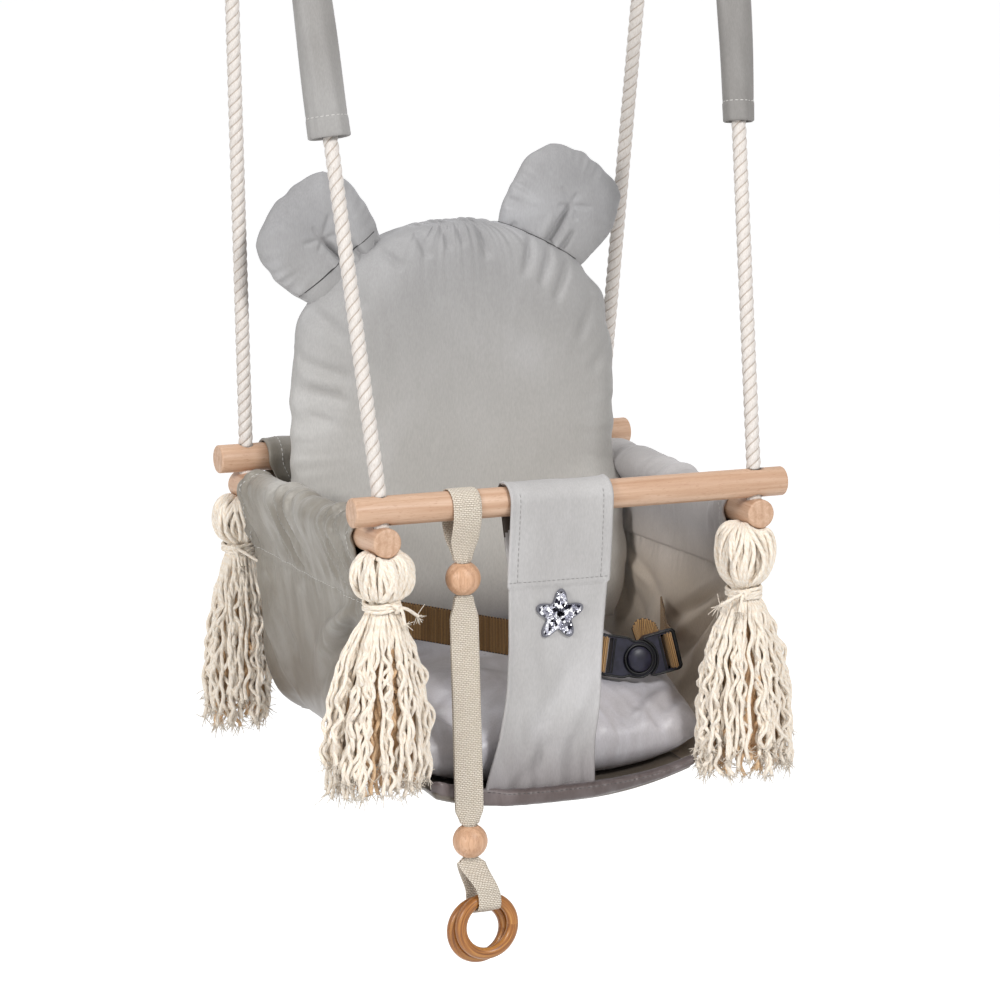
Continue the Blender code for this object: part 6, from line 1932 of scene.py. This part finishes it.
def make_ear(label, side):
    lean = math.radians(LEFT_EAR_LEAN if side == LEFT else RIGHT_EAR_LEAN)
    out = np.array((side * math.sin(lean), 0, math.cos(lean)))
    across = np.array((math.cos(lean), 0, -side * math.sin(lean)))
    place_x, place_z = LEFT_EAR_CENTRE if side == LEFT else RIGHT_EAR_CENTRE
    centre = np.array((place_x, BACK_CUSHION_Y, place_z))

    def place(u, v):
        along, away = rim_place(u, v, 0.36, 0.055)
        bulge = 1 + gathers(along, 0 * away, 0.03, 1.0, 0.012, 101 + side) * np.exp(-away / 0.008)
        heading = np.arctan2(v, u)
        corner, square = (math.radians(148), 0.085) if side == RIGHT else (math.radians(28), 0.05)
        towards = np.exp(-(((heading - corner) / 0.42) ** 2))
        bulge = bulge + square * towards * smoothstep(0.2, 0.9, np.hypot(u, v))
        taper = np.where(u * side > 0, 0.10, -0.04) if side == RIGHT else 0.08
        wide = EAR_HALF_WIDTH * 0.955 * (1 + taper * v) * u * np.sqrt(1 - EAR_ROUND * v * v) * bulge
        tall = EAR_HALF_HEIGHT * 0.965 * v * np.sqrt(1 - EAR_ROUND * u * u) * bulge
        return centre + wide[..., None] * across + tall[..., None] * out

    def thick(u, v, seed):
        along, away = rim_place(u, v, 0.36, 0.055)
        body = EAR_THICKNESS / 2 * profile_of(u, 3, 0.5) * profile_of(v, 3, 0.5)
        lift = gathers(along, away, 0.016, 0.009, 0.0013, seed)
        lift = lift + gathers(along, away, 0.008, 0.005, 0.0007, seed + 5)
        lift = lift * smoothstep(0, 0.003, away)
        lift = lift + 0.0012 * rumple(u * 0.05, v * 0.05, 0, 0.05, seed + 3) * smoothstep(0, 0.015, away)
        return body, lift

    def front(u, v):
        body, lift = thick(u, v, 110 + side)
        x, z = u * EAR_HALF_WIDTH, v * EAR_HALF_HEIGHT
        dart = fold(x, z, (0.0, 0.008), (0.002, -0.062), 0.0026, -0.0078, 0.3)
        dart = folded(dart, x, z, EAR_DARTS)
        dart = dart + fold(x, z, (0.016, -0.010), (0.020, -0.060), 0.0030, -0.0040, 0.4)
        for k, reach in enumerate(EAR_STAR_REACHES):
            way = 2 * PI * k / 6 + 0.5
            tip = (reach * math.cos(way), 0.008 + reach * math.sin(way))
            dart = dart + fold(x, z, (0, 0.008), tip, 0.0022, -0.0019)
        for along in (-0.044, -0.030, 0.032, 0.045):
            dart = dart + fold(x, z, (along, -0.058), (along * 0.86, -0.036), 0.0030, -0.0034)
        return to_rear(-np.maximum(body + lift + dart * (body > 0.004), 0.0))

    def back(u, v):
        body, lift = thick(u, v, 120 + side)
        return to_rear(body + lift)

    made = pillow(f"{label}_ear_cloth", 120, 120, place, front, back, LINEN)
    finished(made, "seat", "velour", f"{label}_ear")


make_seat_cushion()
make_back_cushion()
make_ear("left", LEFT)
make_ear("right", RIGHT)


def make_ear_crease_shade(label, knots):
    """A dark cord of painted shade in the crease between an ear and the cushion, laid on whichever cloth lies
    in front.
    """
    trees = []
    for name in (f"{label}_ear_cloth", "back_cushion_cloth"):
        data = bpy.data.objects[name].data
        points, faces = [v.co for v in data.vertices], [tuple(p.vertices) for p in data.polygons]
        trees.append(BVHTree.FromPolygons(points, faces))
    line = []
    for x, z in smooth_path(knots, 60):
        hits = [tree.ray_cast(Vector((x, -0.3, z)), Vector((0, 1, 0)))[0] for tree in trees]
        near = [hit.y for hit in hits if hit]
        if near:
            line.append((x, min(near), z))
    line = np.array(line)
    ease = np.convolve(np.pad(line[:, 1], 3, "edge"), np.ones(7) / 7, "valid")
    line[:, 1] = np.minimum(ease, line[:, 1] + 0.0004) + THREAD_LIFT
    shape = Shape()
    sweep(shape, line, EAR_CREASE_SHADE_R * np.sin(np.linspace(0.25, PI - 0.25, len(line))) ** 0.4, 8)
    finished(shape.build(f"{label}_ear_crease_shade", DARK_THREAD_AND_CREASE_SHADE), "seat", "velour")


make_ear_crease_shade("left", LEFT_EAR_CREASE)
make_ear_crease_shade("right", RIGHT_EAR_CREASE)


# Toy strap and waist belt


def strap_halves(drop):
    """Half the space between the strap's two legs at a drop, and the width of the webbing there."""
    tight = (STRAP_WEB + STRAP_LAYER_GAP) / 2
    open_top = DOWEL_R + SOFT_GAP + STRAP_WEB / 2
    open_foot = 2 * (TOY_RING_BAR_R + GAP) + TOY_RING_SWING_ROOM + STRAP_WEB / 2
    upper = smoothstep(UPPER_BEAD_DROP - BEAD_R, 0.004, drop)
    lower = smoothstep(LOWER_BEAD_DROP + BEAD_R * 1.1, TOY_RING_DROP - 2 * TOY_RING_BAR_R, drop)
    half = tight + (open_top - tight) * upper + (open_foot - tight) * lower
    width = STRAP_WIDTH
    for bead, above, below in ((UPPER_BEAD_DROP, 0.021, 0.021), (LOWER_BEAD_DROP, 0.013, 0.005)):
        away = abs(drop - bead)
        opening = above if drop < bead else below
        wide = mix(STRAP_NECK_WIDTH, STRAP_WIDTH, smoothstep(BEAD_R, BEAD_R + opening, away))
        width = min(width, mix(STRAP_PINCH_WIDTH, wide, smoothstep(BEAD_R - 0.0018, BEAD_R + 0.0014, away)))
    return half, min(width, mix(STRAP_WIDTH, STRAP_RING_WIDTH, lower))


def make_toy_strap():
    """One loop of webbing over the dowel, through both beads and round the two rings."""
    legs = []
    for drop in TOY_RING_DROP * np.arange(240) / 240:
        half, width = strap_halves(drop)
        legs.append((half, -drop, float(width)))
    open_top = legs[0][0]
    line = [(-half, z, width) for half, z, width in legs]
    bar_y = TOY_RING_BAR_R + GAP
    eye_r = TOY_RING_R - TOY_RING_BAR_R - 2 * GAP
    sag = eye_r - math.sqrt(eye_r**2 - (STRAP_RING_WIDTH / 2) ** 2) + GAP
    bend = bar_y + TOY_RING_SWING_ROOM + STRAP_WEB / 2
    loop_top = LOWER_BEAD_DROP + BEAD_R
    loop_foot = TOY_RING_DROP - 2 * TOY_RING_BAR_R
    for bar, first in ((-bar_y, 0), (bar_y, 12)):
        for i in range(first, first + 13):
            angle = PI * i / 24
            back = float(smoothstep(-bar_y * 0.6, bar_y * 0.6, bar - bend * math.cos(angle)))
            foot = -TOY_RING_DROP + TOY_RING_SWING_ROOM - sag - bend * math.sin(angle) - REAR_RING_DROP * back
            line.append((bar - bend * math.cos(angle) + REAR_LOOP_ROOM * back, foot, STRAP_RING_WIDTH))
    for half, z, width in reversed(legs):
        line.append((half + REAR_LOOP_ROOM * float(smoothstep(loop_top, loop_foot, -z)), z, width))
    over = [PI * i / 40 for i in range(1, 40)]
    line += [(open_top * math.cos(a), open_top * math.sin(a), STRAP_WIDTH) for a in over]
    line = np.array(line)
    keep = [0]
    for i in range(1, len(line)):
        if np.hypot(*(line[i, :2] - line[keep[-1], :2])) > 0.0002:
            keep.append(i)
    line = line[keep]
    before, after = np.roll(line, 1, 0), np.roll(line, -1, 0)
    way = unit(after[:, :2] - before[:, :2])
    normal = np.stack([0 * way[:, 0], way[:, 1], -way[:, 0]], 1)
    spot = np.array([[strap_x(-z), -HALF_Y + y, z] for y, z, _ in line])
    s = np.linspace(-1, 1, 15)
    pinch = smoothstep(0, 1, (STRAP_WIDTH - line[:, 2]) / (STRAP_WIDTH - STRAP_PINCH_WIDTH))
    near_bead = np.array([min(abs(-z - UPPER_BEAD_DROP), abs(-z - LOWER_BEAD_DROP)) for _, z, _ in line])
    bow = STRAP_BOW * pinch * (near_bead < STRAP_BOW_REACH)
    grid = spot[:, None] + line[:, 2][:, None, None] / 2 * s[None, :, None] * np.array([1.0, 0, 0])
    facing = np.sign(line[:, 0])
    swell = bow[:, None] * (np.cos(PI / 2 * s) - 0.35 * np.cos(3 * PI * s))[None]
    grid[..., 1] += facing[:, None] * swell
    round_edge = np.sqrt(np.clip(1 - np.abs(s) ** 10, 0.12, 1))
    thick = STRAP_WEB / 2 * round_edge[None, :, None]
    outer, inner = grid - normal[:, None] * thick, grid + normal[:, None] * thick
    loop = np.concatenate([outer, inner[:, ::-1]], 1)
    length = length_along(np.vstack([spot, spot[:1]]))
    u = np.concatenate([s, s[::-1]]) * STRAP_WIDTH / 2
    places = np.stack(np.meshgrid(np.append(u, u[0]), length), -1)
    shape = Shape()
    closed_skin(shape, loop, places)
    finished(shape.build("cotton_toy_strap", STRAP, tidy=True), "strap", "strap_webbing", "toy_strap")


def buckle_place(x, y, z, bend=0.0):
    """Where a spot of the buckle's own drawing lies. The halves bend back at their outer ends."""
    turn = Matrix.Rotation(BUCKLE_TURN, 3, "Z") @ Matrix.Rotation(-BUCKLE_LEAN, 3, "X")
    return Vector(BUCKLE_CENTRE) + turn @ (Matrix.Rotation(bend, 3, "Y") @ Vector((x, y, z)))


def belt_end(side):
    """Webbing from behind the frame, over the bar and back through the inner slot, as (middle, across)."""
    bend = -side * BUCKLE_BEND
    lift = BUCKLE_THICKNESS / 2 + GAP * 2 + WEB / 2
    bar_in = BUCKLE_REACH - SLOT_BAR
    inner = bar_in - GAP * 2 - WEB / 2
    rim = BUCKLE_REACH + BUCKLE_RIM_OUT
    behind = BUCKLE_RIM_R + GAP * 2 + WEB / 2
    first = (rim + 0.0095, behind * 0.9) if side == LEFT else (rim + 0.0030, behind + 0.0060)
    places = [first, (rim, behind), (rim - 0.0034, behind * 0.2), (rim - 0.0044, -lift * 0.6)]
    places += [(BUCKLE_REACH - 0.0004, -lift), (bar_in + 0.0004, -lift), (inner, -lift * 0.55)]
    places += [(inner, lift * 0.5), (inner + 0.0006 if side == LEFT else inner - 0.0008, lift)]
    across = buckle_place(0, 0, 1, bend) - buckle_place(0, 0, 0, bend)
    return [(buckle_place(side * x, y, 0, bend), across) for x, y in places]


def belt_run(way, end, steps, turn_from):
    """Stations from the panel to the buckle. On the way the webbing turns to the buckle's lean."""
    stations = []
    for i, p in enumerate(smooth_path(way + [tuple(end[0][0])], steps)[:-1]):
        lie = Vector((0, 0, 1)).lerp(end[0][1], float(smoothstep(turn_from, steps, i)))
        stations.append((Vector(p), lie.normalized()))
    return stations


def make_webbing(name, stations, surface):
    """Flat webbing along stations of (middle, direction across), with soft edges."""
    line = np.array([tuple(p) + tuple(a) for p, a in stations])
    fine = smooth_path(line[:, :3], 330, 10)
    coarse = length_along(line[:, :3])
    share = length_along(fine) / length_along(fine)[-1] * coarse[-1]
    across = unit(np.stack([np.interp(share, coarse, line[:, 3 + k]) for k in range(3)], 1))
    s = np.linspace(-1, 1, 17)
    grid = fine[:, None] + across[:, None] * s[None, :, None] * WEB_WIDTH / 2
    return cloth(name, grid, WEB, surface)


def make_belt():
    """Both webbings. The right one bends between the panel and the insert, and ends in a loose loop."""
    end = belt_end(LEFT)
    inset, y, z = BELT_LEFT_START
    stations = belt_run([(inset - HALF_X, y, z)] + BELT_LEFT_WAY, end, 14, 9)
    rim = BUCKLE_REACH + BUCKLE_RIM_OUT
    way = ((rim, 0.0060), (rim + 0.010, 0.0056), (rim + 0.020, 0.0058))
    tail = [(buckle_place(-x, y, 0, BUCKLE_BEND), end[0][1]) for x, y in way]
    left = make_webbing("left_belt_webbing", stations + end + tail, BELT)
    finished(left, "seat", "belt_webbing", "belt_left")
    end = belt_end(RIGHT)
    way = [(HALF_X - inset, y, z) for inset, y, z in BELT_RIGHT_WAY]
    tail = []
    for (x, y, z), lean in zip(BELT_TAIL_WAY, BELT_TAIL_LEANS):
        tail.append((buckle_place(x, y, z, -BUCKLE_BEND), Vector((lean, 0, 1)).normalized()))
    right = make_webbing("right_belt_webbing", belt_run(way, end, 8, 3) + end + tail, BELT)
    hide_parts("belt_right")
    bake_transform(right)


def buckle_line(points, bend, front):
    """Points of the buckle's drawing at one depth."""
    return np.array([tuple(buckle_place(x, front, z, bend)) for x, z in points])


def rounded(points, radius, steps=5):
    """A closed outline with its corners rounded off."""
    points = np.array(points, float)
    found = []
    for before, corner, after in zip(np.roll(points, 1, 0), points, np.roll(points, -1, 0)):
        reach = min(radius, np.linalg.norm(before - corner) / 2, np.linalg.norm(after - corner) / 2)
        a, b = corner + unit(before - corner) * reach, corner + unit(after - corner) * reach
        for i in range(steps + 1):
            t = i / steps
            found.append((1 - t) ** 2 * a + 2 * t * (1 - t) * corner + t * t * b)
    return np.vstack([found, found[:1]])


def make_buckle():
    """Bevelled halves with raised black rims, a frame beyond each slot and a domed button."""
    for node in ("buckle_socket", "buckle_insert", "buckle_button"):
        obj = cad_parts[node]
        obj.data.materials.clear()
        obj.data.materials.append(PLASTIC)
        if node != "buckle_button":
            bevel = obj.modifiers.new("soft_edges", "BEVEL")
            bevel.width = 0.0006
            bevel.segments = 3
            bevel.limit_method = "ANGLE"
            bevel.angle_limit = math.radians(50)
    half, face = BUCKLE_HEIGHT / 2, -BUCKLE_THICKNESS / 2
    for side, label, body in ((LEFT, "socket", "seat"), (RIGHT, "insert", "insert")):
        bend = -side * BUCKLE_BEND
        hub_r = BUCKLE_HUB_R - 0.0008 if side == LEFT else BUCKLE_HUB_R + 0.0016
        first = 112 if side == LEFT else 62
        arc = [math.radians(mix(-first, first, i / 24)) for i in range(25)]
        line = [(hub_r * math.cos(a), hub_r * math.sin(a)) for a in arc]
        edge, end = half - BUCKLE_PIPING_INSET, BUCKLE_REACH - BUCKLE_PIPING_INSET
        upper = [(BUCKLE_NECK, edge), (end - BUCKLE_CORNER, edge), (end, edge - BUCKLE_CORNER)]
        line += [(side * x, z) for x, z in upper] + [(side * x, -z) for x, z in reversed(upper)]
        shape = Shape()
        rim = smooth_path(buckle_line(rounded(line, 0.0016), bend, face), 260, 4)
        sweep(shape, rim, BUCKLE_PIPING_R, 8)
        out = BUCKLE_REACH + BUCKLE_RIM_OUT
        top, near = edge - 0.0004, end - 0.004
        loop = [(side * x, z) for x, z in ((near, top), (out, top), (out, -top), (near, -top))]
        loop = rounded(loop, 0.0035)
        start = int(np.argmin(np.abs(loop[:, 0] - side * near) + np.abs(loop[:, 1])))
        loop = np.roll(loop[:-1], -start, 0)
        path = smooth_path(buckle_line(loop, bend, 0.0), 160, 4)
        sweep(shape, path, BUCKLE_RIM_R, 12)
        for x in (BUCKLE_REACH - SLOT_BAR - 0.0075, BUCKLE_REACH - 0.0006):
            points = [(side * x, z) for z in np.linspace(-edge + 0.002, edge - 0.002, 12)]
            sweep(shape, buckle_line(points, bend, face + 0.0002), BUCKLE_BAR_R, 8)
        finished(shape.build(f"buckle_{label}_rim", BLACK), body, "buckle_plastic")
    shape = Shape()
    profile = [(AXIS_R, -0.0040), (0.0032, -0.0039), (0.0062, -0.0035), (0.0086, -0.0028), (0.0102, -0.0020)]
    profile += [(BUTTON_R - 0.0001, -0.0010), (BUTTON_R, 0.0)]
    profile = [tuple(spot) for spot in smooth_path(profile, 24)]
    profile += [(BUTTON_R, 0.0003), (AXIS_R, 0.0003)]
    way = tuple(buckle_place(0, 1, 0) - buckle_place(0, 0, 0))
    lathe(shape, tuple(buckle_place(0, face - 0.0026, 0)), profile, 48, way)
    made = shape.build("button_dome", PLASTIC, tidy=True)
    finished(made, "button", "buckle_plastic")
    shape = Shape()
    across = buckle_place(1, 0, 0) - buckle_place(0, 0, 0)
    up = buckle_place(0, 0, 1) - buckle_place(0, 0, 0)
    for lift in (0.0, 0.0010, 0.0020):
        place = tuple(buckle_place(0, face - lift, 0))
        ring(shape, place, COLLAR_R, COLLAR_BAR_R, 56, 10, tuple(across), tuple(up))
    finished(shape.build("button_collar", BLACK, tidy=True), "seat", "buckle_plastic")


make_toy_strap()
make_belt()
make_buckle()
